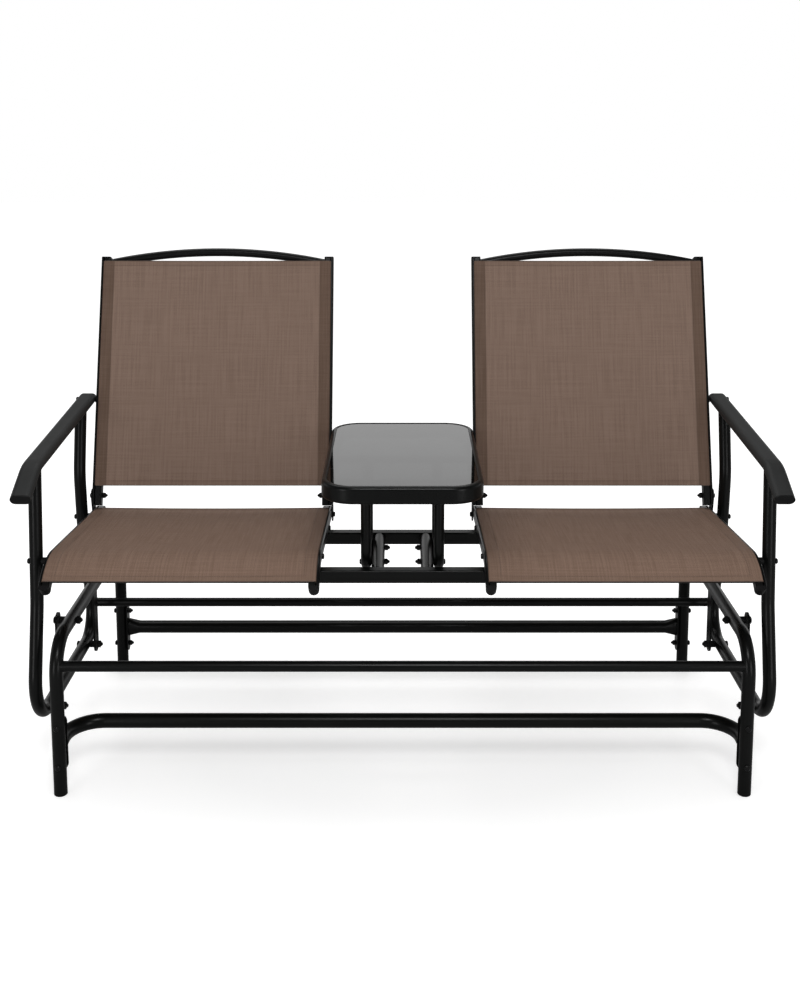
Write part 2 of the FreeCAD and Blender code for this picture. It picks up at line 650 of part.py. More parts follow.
def post_places(side):
    """Where the outer seat rail is bolted to the front and rear posts."""
    top, knee, _, _, calf, waist, _ = loop_corners(side)
    return [post_crossing(knee, top), post_crossing(calf, waist)]


def make_arm_frame(side):
    """A bent tube loop, coped to the underside of its arm."""
    frame = loop_sweep(side, ring(LOOP_TUBE)).cut(arm_sweep(side, arm_section(0)))
    frame = max(frame.Solids, key=lambda solid: solid.Volume)
    through = LOOP_TUBE * 2
    pivots = [FreeCAD.Vector(side * LOOP_X, y, LOW_PIVOT_Z) for y in (FRONT_PIVOT_Y, REAR_PIVOT_Y)]
    frame = drilled(frame, pivots, X_AXIS, through, PIVOT_BOLT + 2 * HOLE_CLEARANCE)
    return drilled(frame, post_places(side), X_AXIS, through, FRAME_BOLT + 2 * HOLE_CLEARANCE)


def arm_bolt_place(side):
    """Where the arm's centre line crosses the bolt line of the back rail, seen from the side."""
    foot = back_foot(side * SEAT_OUTER_X) + BACK_FRONT * RAIL_BOLT_W
    slope = (ARM_REAR_Z - ARM_KINK_Z) / (ARM_REAR_SETBACK - ARM_KINK_SETBACK)
    gap = arm_height(foot.y - FRONT_LEG_Y) - foot.z
    place = foot + BACK_UP * (gap / (BACK_UP.z - slope * BACK_UP.y))
    return FreeCAD.Vector(side * LOOP_X, place.y, place.z)


def make_arm(side):
    """A flat-oval tube with a bolt hole near its rear end."""
    section = arm_section(0).cut(arm_section(TUBE_WALL)).Faces[0]
    arm = arm_sweep(side, section)
    return drilled(arm, [arm_bolt_place(side)], X_AXIS, ARM_WIDTH * 2, FRAME_BOLT + 2 * HOLE_CLEARANCE)


def make_arm_cap(start, outward):
    """A plastic cap with a stem inside the arm tube."""
    seat = start - outward * ARM_CAP_THICKNESS
    plate = placed(arm_section(0), seat, X_AXIS, outward).extrude(outward * ARM_CAP_THICKNESS)
    stem = placed(arm_section(TUBE_WALL + PLUG_CLEARANCE), seat, X_AXIS, outward)
    return fused([plate, stem.extrude(outward * -ARM_CAP_STEM)])


def make_arm_caps():
    caps = []
    for _, side in ENDS:
        corners = arm_corners(side)
        caps.append(make_arm_cap(corners[0], unit(corners[0] - corners[1])))
        caps.append(make_arm_cap(corners[2], unit(corners[2] - corners[1])))
    return caps


def make_arm_bolts():
    """Bolts from the arms through the outer back rails, with a spacer between."""
    bolts = []
    spacers = []
    for _, side in ENDS:
        place = arm_bolt_place(side)
        head = FreeCAD.Vector(side * (LOOP_X + ARM_WIDTH / 2), place.y, place.z)
        arm_face = FreeCAD.Vector(side * (LOOP_X - ARM_WIDTH / 2), place.y, place.z)
        rail_face = FreeCAD.Vector(side * (SEAT_OUTER_X + RAIL_WIDTH / 2), place.y, place.z)
        nut = FreeCAD.Vector(side * (SEAT_OUTER_X - RAIL_WIDTH / 2), place.y, place.z)
        bolts += bolt_and_nut(head, nut, FRAME_BOLT)
        heading = unit(arm_face - rail_face)
        length = (arm_face - rail_face).Length
        sleeve = rod(rail_face, heading, length, SPACER_DIAMETER)
        spacers.append(sleeve.cut(rod(rail_face, heading, length, FRAME_BOLT)))
    return bolts, spacers


def make_post_bolts():
    """Bolts from the loops' posts through the outer seat rails, with a spacer between."""
    bolts = []
    spacers = []
    for _, side in ENDS:
        loop = loop_sweep(side, disc(LOOP_TUBE))
        rail_x = side * (SEAT_OUTER_X + RAIL_WIDTH / 2)
        for place in post_places(side):
            head = FreeCAD.Vector(side * (LOOP_X + LOOP_TUBE / 2), place.y, place.z)
            nut = FreeCAD.Vector(side * (SEAT_OUTER_X - RAIL_WIDTH / 2), place.y, place.z)
            bolts += bolt_and_nut(head, nut, FRAME_BOLT)
            spacers.append(spacer(place.x, rail_x, place.y, place.z, FRAME_BOLT, loop))
    return bolts, spacers


def make_tie_bar():
    """A tube between the rear posts, coped to both loops."""
    ends = [point(-LOOP_X, TIE_BAR_SETBACK, TIE_BAR_Z), point(LOOP_X, TIE_BAR_SETBACK, TIE_BAR_Z)]
    bar = carry(ring(TIE_BAR_TUBE), ends, [], Y_AXIS)
    for _, side in ENDS:
        bar = bar.cut(loop_sweep(side, disc(LOOP_TUBE)))
    return max(bar.Solids, key=lambda solid: solid.Volume)


# Sling rails

def rail_section():
    """The extrusion: outward is +X of the section and the sling's side is +Y."""
    solid = oval(RAIL_WIDTH, RAIL_DEPTH, RAIL_ROUND)
    bore = disc(RAIL_BORE).translated(FreeCAD.Vector(SLOT_U, BORE_W, 0))
    slot_left = SLOT_U - RAIL_SLOT / 2
    slot_right = SLOT_U + RAIL_SLOT / 2
    slot = upright_strip(slot_left, slot_right, BORE_W, RAIL_DEPTH)
    return solid.cut(bore).cut(slot).cut(rail_cavity(0)).Faces[0]


def rail_cavity(trim):
    """The hollow behind the bore, smaller by trim all round."""
    side = RAIL_WIDTH / 2 - RAIL_WALL - trim
    return upright_strip(-side, side, CAVITY_FOOT_W + trim, CAVITY_TOP_W - trim)


def seat_point(x, setback):
    """A place on the sloping centre line of a seat rail, which lies on the rear cross rail."""
    return point(x, setback, SEAT_Z + (CROSS_RAIL_REAR_SETBACK - setback) * math.tan(SEAT_ANGLE))


def seat_bolt_point(x, setback):
    return seat_point(x, setback) + SEAT_UP * RAIL_BOLT_W


def nose_centre(x):
    return seat_point(x, SEAT_NOSE_SETBACK) - SEAT_UP * SEAT_NOSE_BEND


def nose_end(x):
    """Where the rail's nose stops, and its heading there."""
    turn = math.radians(SEAT_NOSE_TURN)
    heading = SEAT_FORWARD * math.cos(turn) - SEAT_UP * math.sin(turn)
    reach = SEAT_UP * math.cos(turn) + SEAT_FORWARD * math.sin(turn)
    return nose_centre(x) + reach * SEAT_NOSE_BEND, heading


def seat_sweep(section, x, rear_inset, turn):
    """Sweep a section forward along the seat's straight run and part of the way round its nose."""
    start = seat_point(x, SEAT_REAR_SETBACK) + SEAT_FORWARD * rear_inset
    face = placed(section, start, X_AXIS, SEAT_FORWARD)
    run = seat_point(x, SEAT_NOSE_SETBACK) - start
    nose = face.translated(run).revolve(nose_centre(x), X_AXIS, turn)
    return fused([face.extrude(run), nose])


def mirrored(section):
    """The section with its outward side turned the other way."""
    return section.mirror(FreeCAD.Vector(), X_AXIS)


def seat_section(section, outward):
    """Turn a section for the seat, which is swept forward with its sling side up."""
    return section if outward > 0 else mirrored(section)


def rails():
    """Name, place and outward side of the rail at each edge of each seat."""
    listed = []
    for end, side in ENDS:
        listed.append((end + "_inner", side * SEAT_INNER_X, -side))
        listed.append((end + "_outer", side * SEAT_OUTER_X, side))
    return listed


def cross_rail_places():
    return [CROSS_RAIL_FRONT_SETBACK, CROSS_RAIL_REAR_SETBACK]


def make_seat_rail(x, outward):
    """A sloping extrusion with a bent nose and its bolt holes."""
    rail = seat_sweep(seat_section(rail_section(), outward), x, 0, SEAT_NOSE_TURN)
    places = [seat_bolt_point(x, setback) for setback in cross_rail_places()]
    places.append(seat_bolt_point(x, SEAT_REAR_SETBACK) + SEAT_FORWARD * BRACKET_SEAT_BOLT_INSET)
    if abs(x) > SEAT_INNER_X:
        places += [FreeCAD.Vector(x, place.y, place.z) for place in post_places(outward)]
    return drilled(rail, places, X_AXIS, RAIL_WIDTH * 2, FRAME_BOLT + 2 * HOLE_CLEARANCE)


def back_foot(x):
    return point(x, BACK_FOOT_SETBACK, BACK_FOOT_Z)


def back_section(section, outward):
    """Turn a section for the back, which is swept up with its sling side in front."""
    return section if outward < 0 else mirrored(section)


def make_back_rail(x, outward):
    """A straight extrusion with its bolt holes."""
    foot = back_foot(x)
    section = placed(back_section(rail_section(), outward), foot, -X_AXIS, BACK_UP)
    rail = section.extrude(BACK_UP * BACK_LENGTH)
    bolt_line = foot + BACK_FRONT * RAIL_BOLT_W
    places = [bolt_line + BACK_UP * BRACKET_BACK_BOLT_INSET]
    if abs(x) > SEAT_INNER_X:
        arm_bolt = arm_bolt_place(outward)
        places.append(FreeCAD.Vector(x, arm_bolt.y, arm_bolt.z))
    return drilled(rail, places, X_AXIS, RAIL_WIDTH * 2, FRAME_BOLT + 2 * HOLE_CLEARANCE)


def make_plug(place, across, outward):
    """A flat plug with a stem in the rail's hollow."""
    plate = placed(oval(RAIL_WIDTH, RAIL_DEPTH, RAIL_ROUND), place, across, outward)
    stem = placed(rail_cavity(PLUG_CLEARANCE), place, across, outward)
    return fused([plate.extrude(outward * RAIL_PLUG_CAP), stem.extrude(outward * -RAIL_PLUG_STEM)])


def make_nose_plug(place, across, outward):
    """A plug with a half-round end, as wide as the rail."""
    radius = RAIL_WIDTH / 2
    plate = placed(oval(RAIL_WIDTH, RAIL_DEPTH, RAIL_ROUND), place, across, outward)
    up = outward.cross(across)
    barrel = rod(place - up * RAIL_DEPTH, up, 2 * RAIL_DEPTH, 2 * radius)
    knob = plate.extrude(outward * radius).common(barrel)
    stem = placed(rail_cavity(PLUG_CLEARANCE), place, across, outward)
    return fused([knob, stem.extrude(outward * -RAIL_PLUG_STEM)])


def make_rail_plugs():
    """Plugs at both ends of every rail."""
    plugs = []
    for _, x, _ in rails():
        end, heading = nose_end(x)
        plugs.append(make_nose_plug(end, X_AXIS, heading))
        plugs.append(make_plug(seat_point(x, SEAT_REAR_SETBACK), -X_AXIS, -SEAT_FORWARD))
        foot = back_foot(x)
        plugs.append(make_plug(foot + BACK_UP * BACK_LENGTH, -X_AXIS, BACK_UP))
        plugs.append(make_plug(foot, X_AXIS, -BACK_UP))
    return plugs


def make_head_bar(side):
    """An arched tube between the tops of two back rails."""
    half = SEAT_WIDTH / 2 - RAIL_WIDTH / 2
    radius = (half ** 2 + HEAD_BAR_RISE ** 2) / (2 * HEAD_BAR_RISE)
    middle_x = side * (SEAT_INNER_X + SEAT_WIDTH / 2)
    crown = back_foot(middle_x) + BACK_UP * HEAD_BAR_CROWN
    centre = crown - BACK_UP * radius
    reach = math.degrees(math.asin((half + RAIL_WIDTH / 2) / radius))
    face = placed(ring(HEAD_BAR_TUBE), crown, BACK_UP, X_AXIS)
    start = face.rotated(centre, BACK_FRONT, reach)
    bar = start.revolve(centre, BACK_FRONT, -2 * reach)
    for offset in (-1, 1):
        x = middle_x + offset * SEAT_WIDTH / 2
        outline = upright_strip(-RAIL_WIDTH / 2, RAIL_WIDTH / 2, -RAIL_DEPTH, RAIL_DEPTH)
        block = placed(outline, back_foot(x), -X_AXIS, BACK_UP)
        bar = bar.cut(block.extrude(BACK_UP * (BACK_LENGTH * 2)))
    return max(bar.Solids, key=lambda solid: solid.Volume)


# Slings and their splines

def sling_edge_section():
    """The tongue through the slot and the loop round the spline, in the rail's section."""
    top = RAIL_DEPTH / 2 + SLING_GAP
    left = SLOT_U - SLING_THICKNESS / 2
    right = SLOT_U + SLING_THICKNESS / 2
    tongue = upright_strip(left, right, BORE_W, top + SLING_THICKNESS)
    loop = disc(SLING_LOOP).translated(FreeCAD.Vector(SLOT_U, BORE_W, 0))
    eye = disc(SPLINE_DIAMETER).translated(FreeCAD.Vector(SLOT_U, BORE_W, 0))
    return tongue.fuse(loop).removeSplitter().cut(eye).Faces[0]


def sheet_section():
    """The flat of a sling from slot to slot, in the section of the rail on its left."""
    top = RAIL_DEPTH / 2 + SLING_GAP
    half = SEAT_WIDTH / 2 + SLOT_U + SLING_THICKNESS / 2
    return upright_strip(-half, half, top, top + SLING_THICKNESS)


def spline_section():
    return disc(SPLINE_DIAMETER).translated(FreeCAD.Vector(SLOT_U, BORE_W, 0))


def seat_edges(side):
    """The rails of one seat."""
    return [(x, outward) for _, x, outward in rails() if (x > 0) == (side > 0)]


def make_seat_sling(side):
    """A sheet over both rails with an edge in each rail's bore."""
    middle = side * (SEAT_INNER_X + SEAT_WIDTH / 2)
    pieces = [seat_sweep(sheet_section(), middle, SEAT_SLING_REAR_INSET, SEAT_SLING_FRONT_TURN)]
    for x, outward in seat_edges(side):
        section = seat_section(sling_edge_section(), outward)
        pieces.append(seat_sweep(section, x, SEAT_SLING_REAR_INSET, SEAT_SLING_FRONT_TURN))
    return fused(pieces)


def back_sling_place(x):
    return back_foot(x) + BACK_UP * BACK_SLING_FOOT_INSET


def make_back_sling(side):
    """A sheet in front of both rails with an edge in each rail's bore."""
    length = BACK_UP * (BACK_LENGTH - BACK_SLING_FOOT_INSET - BACK_SLING_HEAD_INSET)
    middle = side * (SEAT_INNER_X + SEAT_WIDTH / 2)
    pieces = [placed(sheet_section(), back_sling_place(middle), -X_AXIS, BACK_UP).extrude(length)]
    for x, outward in seat_edges(side):
        section = back_section(sling_edge_section(), outward)
        pieces.append(placed(section, back_sling_place(x), -X_AXIS, BACK_UP).extrude(length))
    return fused(pieces)


def make_splines():
    """The cords that lock the slings' edges in the bores."""
    cords = []
    length = BACK_UP * (BACK_LENGTH - BACK_SLING_FOOT_INSET - BACK_SLING_HEAD_INSET)
    for _, x, outward in rails():
        section = seat_section(spline_section(), outward)
        cords.append(seat_sweep(section, x, SEAT_SLING_REAR_INSET, SEAT_SLING_FRONT_TURN))
        section = back_section(spline_section(), outward)
        cords.append(placed(section, back_sling_place(x), -X_AXIS, BACK_UP).extrude(length))
    return cords


# Seat cross rails and brackets

def square_ring():
    outer = oval(CROSS_RAIL, CROSS_RAIL, 2 * TUBE_WALL)
    return outer.cut(oval(CROSS_RAIL - 2 * TUBE_WALL, CROSS_RAIL - 2 * TUBE_WALL, TUBE_WALL)).Faces[0]


def make_cross_rail(setback):
    """A square tube under all four seat rails, with an upright tab beside each."""
    half = CROSS_RAIL_HALF_LENGTH - CROSS_RAIL_CAP
    ends = [point(-half, setback, CROSS_RAIL_Z), point(half, setback, CROSS_RAIL_Z)]
    pieces = [carry(square_ring(), ends, [], Y_AXIS)]
    for _, x, outward in rails():
        near = x - outward * RAIL_WIDTH / 2
        place = seat_bolt_point(near, setback)
        base = point(min(near, near - outward * TAB_THICKNESS), setback - TAB_WIDTH / 2, CROSS_RAIL_TOP)
        tab = Part.makeBox(TAB_THICKNESS, TAB_WIDTH, place.z + TAB_ABOVE_BOLT - CROSS_RAIL_TOP, base)
        pieces.append(drilled(tab, [place], X_AXIS, RAIL_WIDTH, FRAME_BOLT + 2 * HOLE_CLEARANCE))
    return fused(pieces)


def make_cross_rail_caps():
    """Plastic caps in the ends of both cross rails."""
    caps = []
    for setback in cross_rail_places():
        for _, side in ENDS:
            outward = X_AXIS * side
            seat = point(side * (CROSS_RAIL_HALF_LENGTH - CROSS_RAIL_CAP), setback, CROSS_RAIL_Z)
            plate = placed(oval(CROSS_RAIL, CROSS_RAIL, 2 * TUBE_WALL), seat, Y_AXIS, outward)
            bore = CROSS_RAIL - 2 * TUBE_WALL - 2 * PLUG_CLEARANCE
            stem = placed(oval(bore, bore, TUBE_WALL), seat, Y_AXIS, outward)
            plate = plate.extrude(outward * CROSS_RAIL_CAP)
            caps.append(fused([plate, stem.extrude(outward * -CROSS_RAIL_CAP_STEM)]))
    return caps


def make_seat_rail_bolts():
    """Bolts from the rails' outward faces into the tabs."""
    bolts = []
    for _, x, outward in rails():
        for setback in cross_rail_places():
            head = seat_bolt_point(x + outward * RAIL_WIDTH / 2, setback)
            nut = seat_bolt_point(x - outward * (RAIL_WIDTH / 2 + TAB_THICKNESS), setback)
            bolts += bolt_and_nut(head, nut, FRAME_BOLT)
    return bolts


def bracket_bolt_places(x):
    """The bracket's bolt in the seat rail and its bolt in the back rail."""
    low = seat_bolt_point(x, SEAT_REAR_SETBACK) + SEAT_FORWARD * BRACKET_SEAT_BOLT_INSET
    high = back_foot(x) + BACK_FRONT * RAIL_BOLT_W + BACK_UP * BRACKET_BACK_BOLT_INSET
    return [low, high]


def make_brackets():
    """Flat plates that join each back rail to its seat rail."""
    plates = []
    for _, x, outward in rails():
        face_x = x + outward * RAIL_WIDTH / 2
        low, high = bracket_bolt_places(face_x)
        along = unit(high - low)
        foot = low - along * BRACKET_FOOT_DROP
        head = high + along * BRACKET_HEAD_RISE
        outline = oval((head - foot).Length, BRACKET_WIDTH, BRACKET_WIDTH / 2)
        facing = X_AXIS * outward
        plate = placed(outline, (foot + head) / 2, along, facing).extrude(facing * BRACKET_THICKNESS)
        plates.append(drilled(plate, [low, high], X_AXIS, RAIL_WIDTH, FRAME_BOLT + 2 * HOLE_CLEARANCE))
    return plates


def make_bracket_bolts():
    bolts = []
    for _, x, outward in rails():
        for place in bracket_bolt_places(x):
            head = place + X_AXIS * (outward * (RAIL_WIDTH / 2 + BRACKET_THICKNESS))
            nut = place - X_AXIS * (outward * RAIL_WIDTH / 2)
            bolts += bolt_and_nut(head, nut, FRAME_BOLT)
    return bolts


# Table

def table_block(inset, foot, top):
    """The table's outline drawn in by inset, from foot to top."""
    outline = oval(TABLE_WIDTH - 2 * inset, TABLE_DEPTH - 2 * inset, RIM_CORNER - inset)
    place = point(0, TABLE_FRONT_SETBACK + TABLE_DEPTH / 2, foot)
    return outline.extrude(Z_AXIS * (top - foot)).translated(place)


def make_rim():
    """A pressed rim, open below, with a ledge for the glass."""
    block = table_block(0, RIM_FOOT_Z, TABLE_Z)
    faces = sorted(block.Faces, key=lambda face: face.CenterOfMass.z)
    rim = block.makeFillet(RIM_ROUND, faces[0].Edges + faces[-1].Edges)
    rim = rim.cut(table_block(RIM_WIDTH, RIM_FOOT_Z, TABLE_Z))
    rim = rim.cut(table_block(RIM_WIDTH - GLASS_LEDGE, LEDGE_Z, TABLE_Z))
    channel_top = LEDGE_Z - RIM_WALL
    channel = table_block(RIM_WALL + RIM_ROUND / 2, RIM_FOOT_Z, channel_top)
    return rim.cut(channel.cut(table_block(RIM_WIDTH - RIM_WALL, RIM_FOOT_Z, channel_top)))


def make_glass():
    return table_block(RIM_WIDTH - GLASS_LEDGE + GLASS_SIDE_GAP, GLASS_FOOT_Z, GLASS_FOOT_Z + GLASS_THICKNESS)


def make_glass_pads():
    """Clear pads between the ledge and the glass."""
    reach_x = TABLE_WIDTH / 2 - RIM_WIDTH + GLASS_LEDGE / 2
    reach_y = TABLE_DEPTH / 2 - RIM_WIDTH + GLASS_LEDGE / 2
    middle = TABLE_FRONT_SETBACK + TABLE_DEPTH / 2
    places = [(0, reach_y), (0, -reach_y)]
    places += [(x, y) for x in (-reach_x, reach_x) for y in (-reach_y / 2, reach_y / 2)]
    return [rod(point(x, middle + y, LEDGE_Z), Z_AXIS, PAD_THICKNESS, PAD_DIAMETER) for x, y in places]


def make_table_leg_frame():
    """Two bent U legs welded under two supports that span the rim."""
    support_z = RIM_FOOT_Z + SUPPORT_HEIGHT / 2
    half = TABLE_WIDTH / 2 - RIM_WIDTH
    legs = (TABLE_LEG_FRONT_SETBACK, TABLE_LEG_REAR_SETBACK)
    pieces = []
    for setback in legs:
        outer = oval(SUPPORT_DEPTH, SUPPORT_HEIGHT, TUBE_WALL)
        bore = oval(SUPPORT_DEPTH - 2 * TUBE_WALL, SUPPORT_HEIGHT - 2 * TUBE_WALL, TUBE_WALL / 2)
        ends = [point(-half, setback, support_z), point(half, setback, support_z)]
        pieces.append(carry(outer.cut(bore).Faces[0], ends, [], Y_AXIS))
    for _, side in ENDS:
        x = side * TABLE_LEG_X
        corners = [
            point(x, legs[0], RIM_FOOT_Z), point(x, legs[0], CROSS_RAIL_Z),
            point(x, legs[1], CROSS_RAIL_Z), point(x, legs[1], RIM_FOOT_Z)]
        leg = carry(ring(TABLE_LEG_TUBE), corners, [TABLE_LEG_BEND, TABLE_LEG_BEND], X_AXIS)
        places = [FreeCAD.Vector(x, place.y, place.z) for place in table_bolt_places()]
        pieces.append(drilled(leg, places, X_AXIS, TABLE_LEG_TUBE * 2, FRAME_BOLT + 2 * HOLE_CLEARANCE))
    return fused(pieces)


def table_bolt_places():
    return [
        point(0, TABLE_LEG_FRONT_SETBACK + TABLE_BOLT_INSET, CROSS_RAIL_Z),
        point(0, TABLE_LEG_REAR_SETBACK - TABLE_BOLT_INSET, CROSS_RAIL_Z)]


def make_table_bars():
    """Two tubes between the cross rails that carry the table's legs."""
    front = CROSS_RAIL_FRONT_SETBACK + CROSS_RAIL / 2
    rear = CROSS_RAIL_REAR_SETBACK - CROSS_RAIL / 2
    bars = []
    for _, side in ENDS:
        x = side * TABLE_BAR_X
        ends = [point(x, front, CROSS_RAIL_Z), point(x, rear, CROSS_RAIL_Z)]
        bar = carry(ring(TABLE_BAR_TUBE), ends, [], X_AXIS)
        places = [FreeCAD.Vector(x, place.y, place.z) for place in table_bolt_places()]
        bars.append(drilled(bar, places, X_AXIS, TABLE_BAR_TUBE * 2, FRAME_BOLT + 2 * HOLE_CLEARANCE))
    return bars


def make_table_bolts():
    bolts = []
    for _, side in ENDS:
        for place in table_bolt_places():
            head = FreeCAD.Vector(side * (TABLE_LEG_X + TABLE_LEG_TUBE / 2), place.y, place.z)
            nut = FreeCAD.Vector(side * (TABLE_BAR_X - TABLE_BAR_TUBE / 2), place.y, place.z)
            bolts += bolt_and_nut(head, nut, FRAME_BOLT)
    return bolts


# Build every node
os.makedirs("parts", exist_ok=True)
for end, side in ENDS:
    export("base_frame_" + end, [make_base_frame(side)])
    export("arm_frame_" + end, [make_arm_frame(side)])
    export("armrest_" + end, [make_arm(side)])
    export(end + "_seat_sling", [make_seat_sling(side)])
    export(end + "_back_sling", [make_back_sling(side)])
    export(end + "_head_bar", [make_head_bar(side)])
    for row, pivot_y in (("front", FRONT_PIVOT_Y), ("rear", REAR_PIVOT_Y)):
        link = row + "_" + end + "_link"
        export(link, [make_link(side, pivot_y)])
        export(link + "_bushes", [make_bush(side, pivot_y, z) for z in (BASE_RAIL_Z, LOW_PIVOT_Z)])
for name, x, outward in rails():
    export(name + "_seat_rail", [make_seat_rail(x, outward)])
    export(name + "_back_rail", [make_back_rail(x, outward)])
export("foot_plugs", [make_foot_plug(s * BASE_HALF_WIDTH, y) for _, s in ENDS for y in (0, BASE_DEPTH)])
export("front_cross_bar", [make_front_cross_bar()])
export("front_foot_bar", [make_front_foot_bar()])
export("rear_cross_bar", [make_rear_cross_bar()])
export("foot_bar_bolts", make_foot_bar_bolts())
export("rear_bar_bolts", make_rear_bar_bolts())
upper_bolts, upper_spacers = make_upper_pivots()
export("upper_pivot_bolts", upper_bolts)
export("upper_pivot_spacers", upper_spacers)
lower_bolts, lower_spacers = make_lower_pivots()
export("lower_pivot_bolts", lower_bolts)
export("lower_pivot_spacers", lower_spacers)
export("carriage_tie_bar", [make_tie_bar()])
export("armrest_caps", make_arm_caps())
arm_bolts, arm_spacers = make_arm_bolts()
export("armrest_bolts", arm_bolts)
export("armrest_spacers", arm_spacers)
post_bolts, post_spacers = make_post_bolts()
export("arm_frame_bolts", post_bolts)
export("arm_frame_spacers", post_spacers)
export("rail_plugs", make_rail_plugs())
export("sling_splines", make_splines())
export("seat_cross_rail_front", [make_cross_rail(CROSS_RAIL_FRONT_SETBACK)])
export("seat_cross_rail_rear", [make_cross_rail(CROSS_RAIL_REAR_SETBACK)])
export("cross_rail_caps", make_cross_rail_caps())
export("seat_rail_bolts", make_seat_rail_bolts())
export("back_brackets", make_brackets())
export("back_bracket_bolts", make_bracket_bolts())
export("table_rim", [make_rim()])
export("table_glass", [make_glass()])
export("glass_pads", make_glass_pads())
export("table_leg_frame", [make_table_leg_frame()])
export("table_bars", make_table_bars())
export("table_leg_bolts", make_table_bolts())
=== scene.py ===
# %% [markdown]
# # A two-seat porch glider
# The glider comes in as a finished frame of tubes, rails, bolts and glass, which stays exactly where it is. What is
# left for this lesson is its looks: the black powder coat, the tinted glass, and four slings of woven mesh. A sling
# could stay the plain sheet that the frame holds, but then it would have no hems, stitches or weave, so each one is
# sewn anew here and laid in the same place.

# %% Bring in the frame
import json
import math

import bpy
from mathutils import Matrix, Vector


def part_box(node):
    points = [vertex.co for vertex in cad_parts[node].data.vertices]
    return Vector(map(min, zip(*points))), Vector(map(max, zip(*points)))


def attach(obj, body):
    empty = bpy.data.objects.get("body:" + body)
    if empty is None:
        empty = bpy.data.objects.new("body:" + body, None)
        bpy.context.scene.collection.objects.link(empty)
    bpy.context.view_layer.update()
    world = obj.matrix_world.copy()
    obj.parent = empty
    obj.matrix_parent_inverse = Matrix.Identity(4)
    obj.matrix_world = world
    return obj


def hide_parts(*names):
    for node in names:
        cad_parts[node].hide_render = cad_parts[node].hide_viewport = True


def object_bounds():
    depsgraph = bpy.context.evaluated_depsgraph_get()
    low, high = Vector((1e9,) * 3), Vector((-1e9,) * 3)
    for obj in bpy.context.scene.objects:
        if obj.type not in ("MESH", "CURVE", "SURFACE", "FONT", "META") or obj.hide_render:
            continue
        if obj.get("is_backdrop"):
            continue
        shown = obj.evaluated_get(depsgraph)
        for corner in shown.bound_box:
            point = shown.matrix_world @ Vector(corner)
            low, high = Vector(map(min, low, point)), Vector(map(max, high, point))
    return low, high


MM = 0.001
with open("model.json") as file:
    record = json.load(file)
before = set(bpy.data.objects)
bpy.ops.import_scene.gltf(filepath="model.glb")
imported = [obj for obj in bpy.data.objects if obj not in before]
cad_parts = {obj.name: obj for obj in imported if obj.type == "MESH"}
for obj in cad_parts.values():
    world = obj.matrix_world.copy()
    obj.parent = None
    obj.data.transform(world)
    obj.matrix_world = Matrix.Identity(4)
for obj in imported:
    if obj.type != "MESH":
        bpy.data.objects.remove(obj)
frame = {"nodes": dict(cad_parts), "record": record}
nodes = frame["nodes"]
frame_box = [list(corner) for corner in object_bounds()]
print("frame:", len(nodes), "nodes, from", frame_box[0], "to", frame_box[1])

# %% [markdown]
# ## The camera
# The picture was taken from the middle, a little above the backs, with the camera tilted down. Tilting alone would
# put the glider low in the picture, so the lens is also shifted, as with a view camera. The place and the lens were
# worked out from how the legs converge.

# %% Set up the camera
CAMERA_PLACE = (0.0, -2.5726, 1.2715)
CAMERA_TILT_DOWN = 8.5
LENS_MM = 46.8
SENSOR_MM = 36.0
SHIFT_ACROSS = -0.0025
SHIFT_UP = -0.1977

bpy.ops.object.camera_add(location=CAMERA_PLACE, rotation=(math.radians(90 - CAMERA_TILT_DOWN), 0, 0))
camera = bpy.context.object
camera.data.sensor_width = SENSOR_MM
camera.data.lens = LENS_MM
camera.data.shift_x = SHIFT_ACROSS
camera.data.shift_y = SHIFT_UP
bpy.context.scene.camera = camera
bpy.context.scene.view_settings.view_transform = "Standard"
print("camera at", CAMERA_PLACE, "with a lens of", LENS_MM, "mm")

# %% [markdown]
# ## A white studio
# The glider stands on a white sweep under soft light. The white has to be white for the camera without more light on
# the glider, so the rays are told apart. The camera and the glass see a white world, while the cloth is lit by a
# dimmer one. What the black coat mirrors is a third matter: a real studio is white behind the object, and dark around
# the camera and overhead. That darkness is what makes black paint look black, so mirrored rays find white only behind
# the glider and low down, where the table's glass needs it.

# %% Helpers for nodes
def add_node(tree, kind, **values):
    """Add a node and set its inputs by name, or its own settings where it has no such input."""
    node = tree.nodes.new(kind)
    for name, value in values.items():
        label = name.replace("_", " ")
        if label in node.inputs:
            node.inputs[label].default_value = value
        else:
            setattr(node, name, value)
    return node


def feed(tree, socket, value):
    """Set a socket to a plain number, or link another socket to it."""
    if isinstance(value, (int, float)):
        socket.default_value = value
    else:
        tree.links.new(value, socket)


def choose(tree, mask, plain, other):
    """A value that is plain where the mask is 0 and other where it is 1."""
    node = add_node(tree, "ShaderNodeMix")
    for label, value in (("Factor", mask), ("A", plain), ("B", other)):
        feed(tree, node.inputs[label], value)
    return node.outputs[0]


def remap(tree, value, start=(0.0, 1.0), end=(0.0, 1.0)):
    """A value stretched from the range start to the range end, and kept inside it."""
    node = add_node(tree, "ShaderNodeMapRange", From_Min=start[0], From_Max=start[1], To_Min=end[0], To_Max=end[1])
    feed(tree, node.inputs["Value"], value)
    return node.outputs["Result"]


def tell_rays(tree):
    """Two masks: rays that show the background, which are the camera's and those through glass, and mirrored rays."""
    paths = add_node(tree, "ShaderNodeLightPath")
    shown = choose(tree, paths.outputs["Is Camera Ray"], paths.outputs["Is Transmission Ray"], 1.0)
    return shown, paths.outputs["Is Glossy Ray"]


print("helpers: add_node, feed, choose, remap, tell_rays")

# %% Light the studio
WHITE = (1, 1, 1, 1)
SHOWN_WHITE = 1.0
ROOM_LIGHT = 0.62
DIM_FRONT = 0.2
DIM_ABOVE = 0.18
WHITE_BEHIND = 1.06
